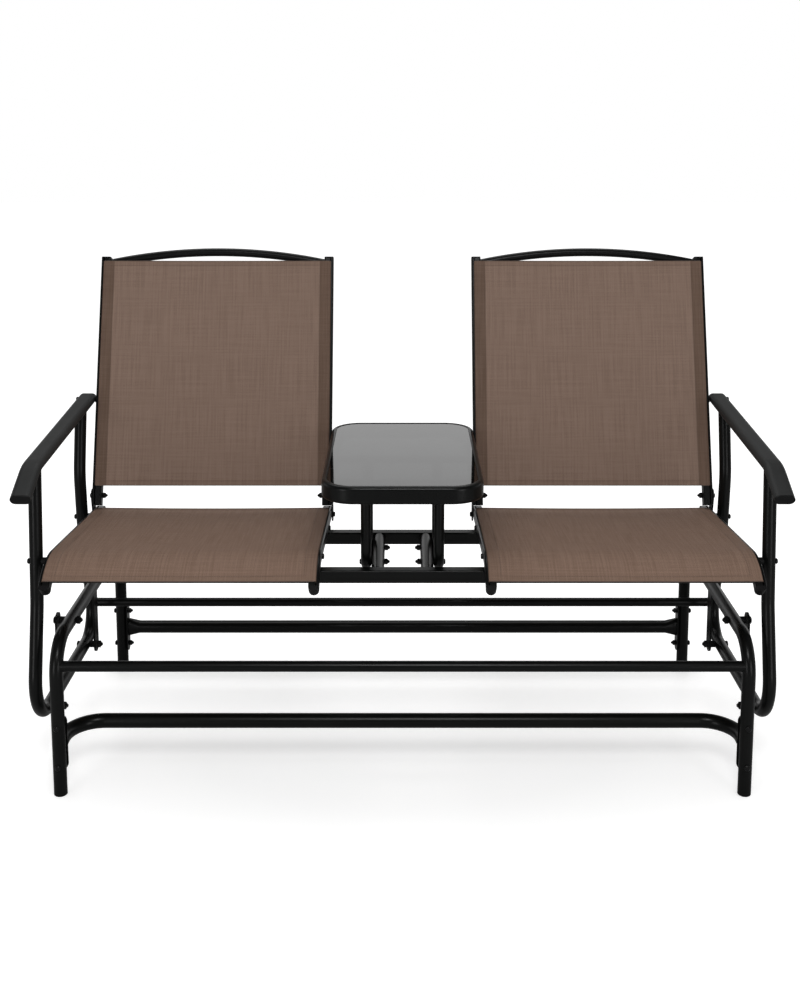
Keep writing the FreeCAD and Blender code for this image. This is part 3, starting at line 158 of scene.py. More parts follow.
# How much a ray points to the back while dim turns to white, and how much it points up while the white ends.
TURNS_WHITE = (-0.3, 0.4)
ENDS_ABOVE = (0.29, 0.32)

world = bpy.data.worlds.new("white_studio")
world.use_nodes = True
bpy.context.scene.world = world
tree = world.node_tree
tree.nodes.clear()
toward = add_node(tree, "ShaderNodeTexCoord")
split = add_node(tree, "ShaderNodeSeparateXYZ")
sky = add_node(tree, "ShaderNodeBackground", Color=WHITE)
output = add_node(tree, "ShaderNodeOutputWorld")
shown, mirrored = tell_rays(tree)
tree.links.new(toward.outputs["Generated"], split.inputs[0])
behind = remap(tree, split.outputs["Y"], TURNS_WHITE, (DIM_FRONT, WHITE_BEHIND))
high_up = remap(tree, split.outputs["Z"], ENDS_ABOVE)
around = choose(tree, high_up, behind, DIM_ABOVE)
light = choose(tree, mirrored, ROOM_LIGHT, around)
tree.links.new(choose(tree, shown, light, SHOWN_WHITE), sky.inputs["Strength"])
tree.links.new(sky.outputs[0], output.inputs["Surface"])
print("studio", world.name, "with room light", ROOM_LIGHT)

# %% [markdown]
# The key lamp stands high in front and draws the tubes' shadows, and a wide bank above lights the arms' flat tops. Two
# upright strips stand left and right of the camera, because a strip draws a soft bright band along a black tube, and
# that tells the eye the tube is round.

# %% Place the lamps
LAMPS_AIM = Vector((0, 0, 0.45))
# Each lamp: its name, its place, its width and height, and its power in watts.
SOFT_LIGHTS = (
    ("bank_above", (-0.2, 1.05, 2.7), (2.6, 1.2), 29.0),
    ("key_in_front", (0.1, -2.6, 2.9), (0.9, 0.9), 41.0),
    ("tall_strip_left", (-1.7, -2.4, 0.65), (0.8, 1.2), 14.0),
    ("tall_strip_right", (1.7, -2.4, 0.65), (0.8, 1.2), 14.0))

for name, place, (width, height), power in SOFT_LIGHTS:
    aim = LAMPS_AIM - Vector(place)
    bpy.ops.object.light_add(type="AREA", location=place, rotation=aim.to_track_quat("-Z", "Y").to_euler())
    lamp = bpy.context.object
    lamp.name = name
    lamp.data.shape = "RECTANGLE"
    lamp.data.size = width
    lamp.data.size_y = height
    lamp.data.energy = power
    print("lamp", name, power, "W")

# %% [markdown]
# The floor keeps a share of plain paint, which is what takes the shadow, and a thin varnish that mirrors the legs
# faintly. The lamps reach only the floor near the glider, so the floor's own glow grows with the distance from it, and
# no edge shows where the floor ends. The distance is squeezed across, because the glider is wider than it is deep.

# %% Lay the floor
FLOOR_SIZE = 30.0

bpy.ops.mesh.primitive_plane_add(size=FLOOR_SIZE)
floor = bpy.context.object
floor.name = "studio_floor"
print("floor", FLOOR_SIZE, "m")

# %% Paint the floor
FLOOR_PAINT = 0.8
FLOOR_MIRRORED = 0.4
FLOOR_SHOWN = (0.7, 0.7, 0.7, 1)
VARNISH_GREY = (0.09, 0.09, 0.09, 1)
VARNISH_ROUGHNESS = 0.22
GLOW_NEAR = 0.41
GLOW_FAR = 0.62
GLOW_GROWS = (0.25, 0.75)
GLOW_SHIFT = (0, 0.1, 0)
GLOW_SQUEEZE = (0.6, 1, 1)

paint = bpy.data.materials.new("white_sweep")
paint.use_nodes = True
tree = paint.node_tree
tree.nodes.clear()
matt = add_node(tree, "ShaderNodeBsdfDiffuse")
thin = add_node(tree, "ShaderNodeBsdfDiffuse", Color=FLOOR_SHOWN)
varnish = add_node(tree, "ShaderNodeBsdfGlossy", Color=VARNISH_GREY, Roughness=VARNISH_ROUGHNESS)
where = add_node(tree, "ShaderNodeTexCoord")
middle = add_node(tree, "ShaderNodeMapping", Location=GLOW_SHIFT, Scale=GLOW_SQUEEZE)
distance = add_node(tree, "ShaderNodeVectorMath", operation="LENGTH")
glow = add_node(tree, "ShaderNodeEmission", Color=WHITE)
lit = add_node(tree, "ShaderNodeAddShader")
glossy = add_node(tree, "ShaderNodeAddShader")
mix = add_node(tree, "ShaderNodeMixShader")
output = add_node(tree, "ShaderNodeOutputMaterial")
shown, mirrored = tell_rays(tree)
strength = remap(tree, distance.outputs["Value"], GLOW_GROWS, (GLOW_NEAR, GLOW_FAR))
tree.links.new(choose(tree, mirrored, FLOOR_PAINT, FLOOR_MIRRORED), matt.inputs["Color"])
tree.links.new(where.outputs["Object"], middle.inputs["Vector"])
tree.links.new(middle.outputs["Vector"], distance.inputs[0])
tree.links.new(strength, glow.inputs["Strength"])
tree.links.new(thin.outputs[0], lit.inputs[0])
tree.links.new(glow.outputs[0], lit.inputs[1])
tree.links.new(lit.outputs[0], glossy.inputs[0])
tree.links.new(varnish.outputs[0], glossy.inputs[1])
tree.links.new(shown, mix.inputs[0])
tree.links.new(matt.outputs[0], mix.inputs[1])
tree.links.new(glossy.outputs[0], mix.inputs[2])
tree.links.new(mix.outputs[0], output.inputs["Surface"])
floor.data.materials.append(paint)
floor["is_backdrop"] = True
print("floor painted", paint.name)

# %% [markdown]
# ## Powder coat
# The tubes are sprayed with powder and baked. The coat is black, half glossy and slightly dimpled like orange peel,
# and it is a little uneven in sheen. Several materials share that effect, so it is one node group that puts out a
# colour, a roughness and a height; each material then has its own shader.

# %% The powder coat group
def new_group(name, inputs, outputs):
    """An empty shader group with its sockets, and its input and output nodes."""
    group = bpy.data.node_groups.new(name, "ShaderNodeTree")
    for label, kind, value in inputs:
        socket = group.interface.new_socket(name=label, in_out="INPUT", socket_type=kind)
        socket.default_value = value
    for label, kind in outputs:
        group.interface.new_socket(name=label, in_out="OUTPUT", socket_type=kind)
    return group, group.nodes.new("NodeGroupInput"), group.nodes.new("NodeGroupOutput")


def maths(tree, operation, first, second=None):
    """A maths node on sockets or plain numbers, and its result."""
    node = add_node(tree, "ShaderNodeMath", operation=operation)
    feed(tree, node.inputs[0], first)
    if second is not None:
        feed(tree, node.inputs[1], second)
    return node.outputs[0]


CLOUD_MIDDLE = 0.5
CLOUD_RANGE = (0.3, 0.7)
CLOUD_SHADES = (0.8, 1.2)

group, given, out = new_group(
    "powder_coat",
    (("Colour", "NodeSocketColor", (0.02, 0.02, 0.02, 1)),
     ("Roughness", "NodeSocketFloat", 0.35),
     ("Unevenness", "NodeSocketFloat", 0.1),
     ("Peel Scale", "NodeSocketFloat", 700.0)),
    (("Colour", "NodeSocketColor"), ("Roughness", "NodeSocketFloat"), ("Height", "NodeSocketFloat")))
where = add_node(group, "ShaderNodeTexCoord")
peel = add_node(group, "ShaderNodeTexNoise", Detail=2.0, Roughness=0.5)
cloud = add_node(group, "ShaderNodeTexNoise", Scale=9.0, Detail=4.0, Roughness=0.6)
tint = add_node(group, "ShaderNodeVectorMath", operation="SCALE")
group.links.new(where.outputs["Object"], peel.inputs["Vector"])
group.links.new(given.outputs["Peel Scale"], peel.inputs["Scale"])
group.links.new(where.outputs["Object"], cloud.inputs["Vector"])
swing = maths(group, "SUBTRACT", cloud.outputs[0], CLOUD_MIDDLE)
uneven = maths(group, "MULTIPLY", swing, given.outputs["Unevenness"])
rough = maths(group, "ADD", given.outputs["Roughness"], uneven)
group.links.new(given.outputs["Colour"], tint.inputs[0])
group.links.new(remap(group, cloud.outputs[0], CLOUD_RANGE, CLOUD_SHADES), tint.inputs["Scale"])
group.links.new(tint.outputs["Vector"], out.inputs["Colour"])
group.links.new(rough, out.inputs["Roughness"])
group.links.new(peel.outputs[0], out.inputs["Height"])
powder_coat = group
print("group", group.name, "made")

# %% [markdown]
# The same group serves for steel, for the aluminium rails, for the black fasteners and for moulded plastic. What
# changes is the colour, how rough the surface is, and how coarse its grain. The two arms have a matt coat of their own,
# rougher than the tubes', and its colour is painted lighter, as a painted sheen: they are an even grey from end to
# end, where the tubes have bright bands.

# %% The coated and moulded finishes
DIMPLE_DEPTH = 0.1 * MM


def new_material(name):
    """A material, its node tree and its shader."""
    material = bpy.data.materials.new(name)
    material.use_nodes = True
    return material, material.node_tree, material.node_tree.nodes["Principled BSDF"]


def coated(name, colour, roughness, unevenness, grain, bump, shine):
    """A material whose colour, sheen and grain come from the powder coat group."""
    material, tree, shader = new_material(name)
    shader.inputs["Specular IOR Level"].default_value = shine
    coat = add_node(tree, "ShaderNodeGroup", node_tree=powder_coat, Colour=(*colour, 1), Roughness=roughness,
                    Unevenness=unevenness, Peel_Scale=grain)
    dimple = add_node(tree, "ShaderNodeBump", Strength=bump, Distance=DIMPLE_DEPTH)
    tree.links.new(coat.outputs["Height"], dimple.inputs["Height"])
    tree.links.new(coat.outputs["Colour"], shader.inputs["Base Color"])
    tree.links.new(coat.outputs["Roughness"], shader.inputs["Roughness"])
    tree.links.new(dimple.outputs["Normal"], shader.inputs["Normal"])
    return material


# Each finish: its name, colour, roughness, unevenness, grain, bump and shine.
COATS = {
    "coated_steel": ("black_powder_coat", (0.0024, 0.0026, 0.0025), 0.29, 0.1, 620.0, 0.3, 0.155),
    "coated_aluminium": ("black_rail_coat", (0.0034, 0.0036, 0.0035), 0.3, 0.1, 900.0, 0.25, 0.1),
    "black_steel": ("black_fasteners", (0.0045, 0.0045, 0.0047), 0.28, 0.14, 1500.0, 0.2, 0.16),
    "black_plastic": ("moulded_black_plastic", (0.0038, 0.0038, 0.004), 0.46, 0.08, 2200.0, 0.5, 0.1),
    "nylon": ("dark_nylon", (0.03, 0.03, 0.029), 0.45, 0.06, 1300.0, 0.2, 0.4),
    "spline_cord": ("spline_cord", (0.05, 0.042, 0.036), 0.55, 0.06, 900.0, 0.3, 0.3),
    "clear_pad": ("clear_pad", (0.4, 0.41, 0.42), 0.3, 0.06, 500.0, 0.1, 0.4)}
# The arms' coat is rougher, and its colour is painted several times lighter than the tubes' black: a painted sheen.
ARM_COAT_PAINTED_SHEEN = ("arm_coat_painted_sheen", (0.018, 0.0185, 0.0185), 0.5, 0.08, 620.0, 0.3, 0.09)

finishes = {slot: coated(*coat) for slot, coat in COATS.items()}
arm_coat_with_painted_sheen = coated(*ARM_COAT_PAINTED_SHEEN)
print("finishes:", ", ".join(finishes))

# %% [markdown]
# ## Tinted glass
# The table top is dark tempered glass. Seen at a low angle it mirrors the white studio, which is why it looks grey
# from the front and nearly black from above. Real glass with a deep tint gives both without any painting. A faint
# wiped film makes its roughness uneven.

# %% The glass
GLASS_IOR = 1.5
TINTS = (("A_Color", (0.008, 0.0088, 0.0088, 1)), ("B_Color", (0.012, 0.0128, 0.0128, 1)))
FILM_RANGE = (0.35, 0.7)
FILM_ROUGHNESS = (0.015, 0.05)


def by_identifier(sockets, identifier):
    """The one socket with this identifier, where several share a name."""
    return next(socket for socket in sockets if socket.identifier == identifier)


def tinted_glass():
    """Glass that wavers between two deep tints, with a film that blurs it unevenly."""
    material, tree, shader = new_material("tinted_glass")
    shader.inputs["IOR"].default_value = GLASS_IOR
    shader.inputs["Transmission Weight"].default_value = 1.0
    where = add_node(tree, "ShaderNodeTexCoord")
    film = add_node(tree, "ShaderNodeTexNoise", Scale=14.0, Detail=3.0)
    tint = add_node(tree, "ShaderNodeMix", data_type="RGBA")
    for identifier, colour in TINTS:
        by_identifier(tint.inputs, identifier).default_value = colour
    tree.links.new(where.outputs["Object"], film.inputs["Vector"])
    tree.links.new(film.outputs[0], tint.inputs["Factor"])
    tree.links.new(remap(tree, film.outputs[0], FILM_RANGE, FILM_ROUGHNESS), shader.inputs["Roughness"])
    tree.links.new(by_identifier(tint.outputs, "Result_Color"), shader.inputs["Base Color"])
    return material


finishes["tinted_glass"] = tinted_glass()
print("glass made")

# %% [markdown]
# Every piece of the frame is listed with the slot it belongs to, so the painting is a look-up from slot to finish. The
# slings are left out, because they are sewn anew below.

# %% Paint the frame
def paint_node(name, material):
    """Give a piece of the frame one material."""
    nodes[name].data.materials.clear()
    nodes[name].data.materials.append(material)


slot_of = {part["node"]: part["material_slot"] for part in frame["record"]["subparts"]}
painted = [name for name in nodes if slot_of[name] in finishes]
for name in painted:
    paint_node(name, finishes[slot_of[name]])
# The arms get the lighter coat, with its painted sheen.
for name in ("armrest_left", "armrest_right"):
    paint_node(name, arm_coat_with_painted_sheen)
print("painted", len(painted), "nodes")

# %% [markdown]
# ## Sling cloth
# The slings are a vinyl-coated mesh: round brown yarns that cross over and under, with a dark pin hole at each corner.
# Real holes could be cut with transparency, but they are smaller than a pixel and would only turn to noise, so they
# are painted dark, as painted shade. The yarns' crowns are painted lighter and their low places darker, a painted
# shade beside the bump. The pattern has to follow the cloth round the seat's nose, so it reads the cloth's own flat
# map, which is in metres. Where the cloth is doubled in a hem the holes close and the brown is painted deeper, as
# painted shade, most of all on the backs; on the backs' single cloth a little painted light is added instead, for the
# daylight that shines through it.

# %% The weave group
# The Daylight socket is painted light added where the cloth is single; the Hem socket carries the painted hem shade and
# where the cloth is sewn.
group, given, out = new_group(
    "sling_weave",
    (("Flat Map", "NodeSocketVector", (0, 0, 0)),
     ("Hem", "NodeSocketFloat", 0.0),
     ("Pitch", "NodeSocketFloat", 0.002),
     ("Daylight", "NodeSocketFloat", 0.0),
     ("Dark Yarn", "NodeSocketColor", (0.1, 0.07, 0.05, 1)),
     ("Light Yarn", "NodeSocketColor", (0.2, 0.14, 0.1, 1))),
    (("Colour", "NodeSocketColor"), ("Height", "NodeSocketFloat")))
sling_weave = group
print("group", group.name, "with its sockets")

# %% Yarns over and under
split = add_node(group, "ShaderNodeSeparateXYZ")
group.links.new(given.outputs["Flat Map"], split.inputs[0])
crowns, counts = [], []
for axis in ("X", "Y"):
    yarns = maths(group, "DIVIDE", split.outputs[axis], given.outputs["Pitch"])
    wave = maths(group, "SINE", maths(group, "MULTIPLY", yarns, math.pi))
    crowns.append(maths(group, "ABSOLUTE", wave))
    counts.append(maths(group, "FLOOR", yarns))
crown_across, crown_along = crowns
over = maths(group, "FLOORED_MODULO", maths(group, "ADD", *counts), 2.0)
height = choose(group, over, crown_along, crown_across)
print("yarns take turns on top")

# %% Pin holes
# Painted shade: each hole is painted dark, for the gap seen through it.
SEWN_FROM = 0.1
HOLE_CROWN = 0.36
HOLE_PAINTED_SHADE = 0.4

widest = maths(group, "MAXIMUM", crown_across, crown_along)
sewn = maths(group, "GREATER_THAN", given.outputs["Hem"], SEWN_FROM)
cover = maths(group, "MAXIMUM", maths(group, "GREATER_THAN", widest, HOLE_CROWN), sewn)
hole = choose(group, cover, HOLE_PAINTED_SHADE, 1.0)
print("holes where both yarns are lower than", HOLE_CROWN)

# %% Streaks in the yarn
# How closely the streaks lie side by side, how slowly they change along, and how strong they are each way.
STREAKS_CLOSE = 300.0
STREAKS_LONG = 9.0
STREAKS = (((STREAKS_CLOSE, STREAKS_LONG, 1.0), 1.0), ((STREAKS_LONG, STREAKS_CLOSE, 1.0), 0.6))
STREAK_RANGE = (0.58, 1.02)

streaks = []
for stretch, strength in STREAKS:
    stretched = add_node(group, "ShaderNodeVectorMath", operation="MULTIPLY")
    stretched.inputs[1].default_value = stretch
    noise = add_node(group, "ShaderNodeTexNoise", Scale=1.0, Detail=1.0)
    group.links.new(given.outputs["Flat Map"], stretched.inputs[0])
    group.links.new(stretched.outputs["Vector"], noise.inputs["Vector"])
    streaks.append(maths(group, "MULTIPLY", noise.outputs[0], strength))
tone = add_node(group, "ShaderNodeMixRGB")
group.links.new(remap(group, maths(group, "ADD", *streaks), STREAK_RANGE), tone.inputs["Fac"])
group.links.new(given.outputs["Dark Yarn"], tone.inputs["Color1"])
group.links.new(given.outputs["Light Yarn"], tone.inputs["Color2"])
print("streaks in", len(streaks), "directions")

# %% The weave's colour
# Painted shade: the yarns' low places are painted darker and their crowns lighter, beside the bump.
YARN_PAINTED_SHADES = (0.72, 1.06)
PAINTED_HEM_DARKENING = 0.33

lit = maths(group, "MULTIPLY", remap(group, height, end=YARN_PAINTED_SHADES), hole)
# Painted shade: the hems are painted deeper in colour, by as much as the hem mark says.
deep = maths(group, "SUBTRACT", 1.0, maths(group, "MULTIPLY", given.outputs["Hem"], PAINTED_HEM_DARKENING))
shaded = add_node(group, "ShaderNodeVectorMath", operation="SCALE")
group.links.new(tone.outputs[0], shaded.inputs[0])
group.links.new(maths(group, "MULTIPLY", lit, deep), shaded.inputs["Scale"])
# Painted light: the daylight is added to the colour where the cloth is single.
single = maths(group, "SUBTRACT", 1.0, given.outputs["Hem"])
with_painted_daylight = add_node(group, "ShaderNodeVectorMath", operation="ADD")
group.links.new(shaded.outputs["Vector"], with_painted_daylight.inputs[0])
group.links.new(maths(group, "MULTIPLY", given.outputs["Daylight"], single), with_painted_daylight.inputs[1])
group.links.new(with_painted_daylight.outputs["Vector"], out.inputs["Colour"])
group.links.new(height, out.inputs["Height"])
print("group", group.name, "made")

# %% The cloth and its thread
YARN_PITCH = 2.0 * MM
YARN_HEIGHT = 0.4 * MM
YARN_BUMP = 0.6
DARK_YARN = (0.148, 0.094, 0.068)
LIGHT_YARN = (0.182, 0.119, 0.088)
CLOTH_ROUGHNESS = 0.75
CLOTH_SHINE = 0.12
# Painted light added to the backs' single cloth, for the daylight that comes through it.
PAINTED_DAYLIGHT = {"seat": 0.0, "back": 0.017}
# The thread's brown also colours the edge rolls, where it is painted shade along the fold.
THREAD_AND_EDGE_SHADE_COAT = ("brown_thread_and_edge_shade", (0.075, 0.05, 0.038), 0.6, 0.1, 3000.0, 0.4, 0.25)


def woven(name, daylight):
    """Sling cloth in two browns, made paler by painted light for the daylight that comes through its holes."""
    material, tree, shader = new_material(name)
    shader.inputs["Roughness"].default_value = CLOTH_ROUGHNESS
    shader.inputs["Specular IOR Level"].default_value = CLOTH_SHINE
    flat = add_node(tree, "ShaderNodeUVMap", uv_map="flat")
    hem = add_node(tree, "ShaderNodeAttribute", attribute_name="hem")
    weave = add_node(tree, "ShaderNodeGroup", node_tree=sling_weave, Pitch=YARN_PITCH, Daylight=daylight,
                     Dark_Yarn=(*DARK_YARN, 1), Light_Yarn=(*LIGHT_YARN, 1))
    bump = add_node(tree, "ShaderNodeBump", Strength=YARN_BUMP, Distance=YARN_HEIGHT)
    tree.links.new(flat.outputs["UV"], weave.inputs["Flat Map"])
    tree.links.new(hem.outputs["Fac"], weave.inputs["Hem"])
    tree.links.new(weave.outputs["Height"], bump.inputs["Height"])
    tree.links.new(weave.outputs["Colour"], shader.inputs["Base Color"])
    tree.links.new(bump.outputs["Normal"], shader.inputs["Normal"])
    return material


sling_cloth = {kind: woven("brown_" + kind + "_mesh", daylight) for kind, daylight in PAINTED_DAYLIGHT.items()}
thread_and_edge_shade = coated(*THREAD_AND_EDGE_SHADE_COAT)
print("cloth with", YARN_PITCH / MM, "mm between yarns")

# %% [markdown]
# ## Where the cloth lies
# Each sling is stretched between two rails. Its long edges dive into the rails' slots, where a cord locks them. On
# the seat the rails slope down to the back and bend down at the front; on the back they are straight. The functions
# below give a place on that path: how far along the rail, and how far above its middle. They count in millimetres.

# %% The paths of the rails
BASE_TUBE = 25.0
SEAT_Z = 414.0
SEAT_SLOPE = math.radians(4.5)
SEAT_REAR = 460.0
SEAT_LEVEL_SETBACK = 328.0
NOSE_SETBACK = 94.0
NOSE_BEND = 105.0
BACK_TILT = math.radians(18.5)
BACK_FOOT = (430.0, 428.0)
SEAT_STRAIGHT = (SEAT_REAR - NOSE_SETBACK) / math.cos(SEAT_SLOPE)
SEAT_FORWARD = Vector((0, -math.cos(SEAT_SLOPE), math.sin(SEAT_SLOPE)))
SEAT_UP = Vector((0, math.sin(SEAT_SLOPE), math.cos(SEAT_SLOPE)))
BACK_FRONT = Vector((0, -math.cos(BACK_TILT), math.sin(BACK_TILT)))
BACK_UP = Vector((0, math.sin(BACK_TILT), math.cos(BACK_TILT)))
front_leg_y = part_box("base_frame_left")[0].y / MM + BASE_TUBE / 2


def seat_point(setback):
    """The middle of a seat rail's straight part, so far behind the front legs."""
    return Vector((0, front_leg_y + setback, SEAT_Z + (SEAT_LEVEL_SETBACK - setback) * math.tan(SEAT_SLOPE)))


def seat_place(run, lift):
    """A place over the seat rail: run from its rear end along its middle, lift above the middle."""
    if run <= SEAT_STRAIGHT:
        return seat_point(SEAT_REAR) + SEAT_FORWARD * run + SEAT_UP * lift
    turn = (run - SEAT_STRAIGHT) / NOSE_BEND
    reach = SEAT_UP * math.cos(turn) + SEAT_FORWARD * math.sin(turn)
    return seat_point(NOSE_SETBACK) - SEAT_UP * NOSE_BEND + reach * (NOSE_BEND + lift)


def back_place(run, lift):
    """A place in front of the back rail: run from its foot, lift in front of its middle."""
    return Vector((0, front_leg_y + BACK_FOOT[0], BACK_FOOT[1])) + BACK_UP * run + BACK_FRONT * lift


print("front legs at y", front_leg_y, "seat's straight run", SEAT_STRAIGHT)

# %% [markdown]
# ## Sewing a sling
# A sling is one sheet. It could be a plane with a cloth simulation, but a stretched sheet hardly moves: it dips a few
# millimetres between its rails and puckers beside its seams. So the sheet is laid as a grid along the rails' path and
# those small forms are worked into it. Grid lines fall on the hems' edges, and the flat map keeps true lengths.

# %% Lay a sheet
CLOTH_SMOOTH = math.radians(40)


def steps(start, end, count):
    """Even steps from start to end."""
    return [start + (end - start) * index / count for index in range(count + 1)]


def new_piece(name, points, faces, material):
    """A mesh as an object at the origin, picked out for the next operator."""
    mesh = bpy.data.meshes.new(name)
    mesh.from_pydata(points, [], faces)
    mesh.materials.append(material)
    piece = bpy.data.objects.new(name, mesh)
    bpy.context.scene.collection.objects.link(piece)
    bpy.ops.object.select_all(action="DESELECT")
    piece.select_set(True)
    bpy.context.view_layer.objects.active = piece
    return piece


def solid_sheet(name, columns, rows, place, material, thickness, hem_and_painted_shade=None):
    """A grid of columns (x, lift) and rows (run), thickened. A column's lift may depend on the row."""
    offsets = [0.0]
    for (x, lift), (next_x, next_lift) in zip(columns, columns[1:]):
        offsets.append(offsets[-1] + math.hypot(next_x - x, next_lift(rows[0]) - lift(rows[0])))
    points, faces, flat, hems = [], [], [], []
    for run in rows:
        for (x, lift), offset in zip(columns, offsets):
            points.append((place(run, lift(run)) + Vector((x, 0, 0))) * MM)
            flat.append(((offset - offsets[-1] / 2) * MM, run * MM))
            hems.append(hem_and_painted_shade(x, run) if hem_and_painted_shade else 1.0)
    across = len(columns)
    for row in range(len(rows) - 1):
        for column in range(across - 1):
            corner = row * across + column
            faces.append((corner, corner + 1, corner + across + 1, corner + across))
    piece = new_piece(name, points, faces, material)
    layer = piece.data.uv_layers.new(name="flat")
    for loop in piece.data.loops:
        layer.data[loop.index].uv = flat[loop.vertex_index]
    # The hem mark carries the painted hem shade, and tells where the cloth is sewn.
    mark = piece.data.attributes.new("hem", "FLOAT", "POINT")
    mark.data.foreach_set("value", hems)
    wall = piece.modifiers.new("thickness", "SOLIDIFY")
    wall.thickness = thickness * MM
    wall.offset = 0.0
    bpy.ops.object.modifier_apply(modifier="thickness")
    bpy.ops.object.shade_smooth_by_angle(angle=CLOTH_SMOOTH)
    return piece


print("sheets are smooth up to", round(math.degrees(CLOTH_SMOOTH)), "degrees")

# %% [markdown]
# The dip is a shallow bow from rail to rail, less deep near the cloth's ends, where the hems hold it. The puckers are
# a small wave along the seams that dies out within a thumb's width. Each long edge ends in a tongue that goes down
# into the rail's slot.

# %% Shape the cloth
SLOT_OFFSET = 4.0
RAIL_HALF = 10.0
SHEET_LIFT = 12.0
SHEET_THICK = 1.2
SIDE_HEM = 24.0
HEM_EDGE = 1.2
DIP_AT_ENDS = 0.45
DIP_EASE = 0.35
PUCKER = 0.35
PUCKER_PITCH = 27.0
PUCKER_REACH = 9.0
PUCKER_FADE = 8.0
# Columns of the grid: the tongue as (in from the slot, lift), two more beside it, and even ones between the rails.
TONGUE = ((0.0, 8.4), (0.0, 10.4), (0.5, 11.5), (1.6, SHEET_LIFT))
BESIDE_TONGUE = (4.0, 8.0)
EVEN_COLUMNS = 60


def sling_shape(left, right, sag, first, last):
    """How high the cloth lies at a place across and along: it dips between its rails and puckers at its seams."""
    def lift_at(x, run):
        inside = (x - left - RAIL_HALF) / (right - left - 2 * RAIL_HALF)
        if not 0 < inside < 1:
            return SHEET_LIFT
        bow = 4 * inside * (1 - inside)
        ease = math.sin(math.pi * min(1.0, max(0.0, (run - first) / (last - first)))) ** DIP_EASE
        dip = sag * bow * (DIP_AT_ENDS + (1 - DIP_AT_ENDS) * ease)
        seam = min(x - left, right - x) + SLOT_OFFSET - SIDE_HEM
        wave = PUCKER * math.exp(-(seam / PUCKER_REACH) ** 2) * math.sin(2 * math.pi * run / PUCKER_PITCH)
        return SHEET_LIFT - dip + wave * min(1.0, PUCKER_FADE * inside, PUCKER_FADE * (1 - inside))
    return lift_at


def sheet_columns(left, right, lift_at):
    """The cloth from slot to slot: a tongue down each slot, a small round, and the span between."""
    low, high = left - SLOT_OFFSET, right + SLOT_OFFSET
    insets = (*BESIDE_TONGUE, SIDE_HEM - HEM_EDGE, SIDE_HEM + HEM_EDGE)
    spans = steps(left + RAIL_HALF, right - RAIL_HALF, EVEN_COLUMNS)
    spans += [low + inset for inset in insets] + [high - inset for inset in insets]
    columns = [(low + inset, lambda run, lift=lift: lift) for inset, lift in TONGUE]
    columns += [(x, lambda run, x=x: lift_at(x, run)) for x in sorted(spans)]
    columns += [(high - inset, lambda run, lift=lift: lift) for inset, lift in reversed(TONGUE)]
    return columns


print("cloth", SHEET_THICK, "mm thick,", SHEET_LIFT, "mm above the rails' middle")

# %% [markdown]
# ## Hems, edge rolls and stitches
# The cloth's ends are turned under and sewn down, which leaves a small roll at the very edge, a second layer of cloth
# below and a row of stitches on top. The roll takes the thread's darker brown, as painted shade along the fold. The
# long sides are doubled as well, from the rail to a seam. One stitch is modelled from a ball that is drawn out and
# flattened, and copied along the seams.

# %% One stitch
STITCH_LONG = 3.4
STITCH_WIDE = 0.9
STITCH_HIGH = 0.5
BALL_RADIUS = 0.5

bpy.ops.mesh.primitive_uv_sphere_add(segments=6, ring_count=5, radius=BALL_RADIUS)
stitch = bpy.context.object
stitch.name = "one_stitch"
bpy.ops.object.mode_set(mode="EDIT")
bpy.ops.mesh.select_all(action="SELECT")
bpy.ops.transform.resize(value=(STITCH_WIDE, STITCH_LONG, STITCH_HIGH))
bpy.ops.object.mode_set(mode="OBJECT")
stitch_points = [vertex.co.copy() for vertex in stitch.data.vertices]
stitch_faces = [tuple(face.vertices) for face in stitch.data.polygons]
bpy.data.objects.remove(stitch)
print("one stitch:", len(stitch_faces), "faces")

# %% Sew the seams
STITCH_PITCH = 4.4
STITCH_PROUD = 0.2
THREAD_SMOOTH = math.radians(60)


def closed_piece(name, points, faces, material):
    """A closed mesh as an object, with its faces turned outward."""
    piece = new_piece(name, points, faces, material)
    bpy.ops.object.mode_set(mode="EDIT")
    bpy.ops.mesh.select_all(action="SELECT")
    bpy.ops.mesh.normals_make_consistent(inside=False)
    bpy.ops.object.mode_set(mode="OBJECT")
    bpy.ops.object.shade_smooth_by_angle(angle=THREAD_SMOOTH)
    return piece


def surface(place, lift_at, x, run, above):
    """A place so far above the cloth's middle layer."""
    return place(run, lift_at(x, run) + above) + Vector((x, 0, 0))


def stitches(name, place, lift_at, seams):
    """Copies of the stitch along seams; a seam is a list of (x, run) places a stitch apart."""
    points, faces = [], []
    above = SHEET_THICK / 2 + STITCH_HIGH * STITCH_PROUD
    for seam in seams:
        for (x, run), (next_x, next_run) in zip(seam, seam[1:]):
            here = surface(place, lift_at, x, run, above)
            ahead = (surface(place, lift_at, next_x, next_run, above) - here).normalized()
            up = (surface(place, lift_at, x, run, above + 1.0) - here).normalized()
            side = ahead.cross(up)
            first = len(points)
            points += [(here + side * p.x + ahead * p.y + up * p.z) * MM for p in stitch_points]
            faces += [tuple(first + index for index in face) for face in stitch_faces]
    return closed_piece(name, points, faces, thread_and_edge_shade)


def stitch_places(start, end):
    """Places from start, a stitch apart, that stop short of the end."""
    return [start + STITCH_PITCH * index for index in range(int((end - start) / STITCH_PITCH))]


print("stitch every", STITCH_PITCH, "mm")

# %% Roll the edges
ROLL_RADIUS = 0.95
ROLL_SIDES = 10
ROLL_STEPS = 64
ROLL_INSET = 2.0


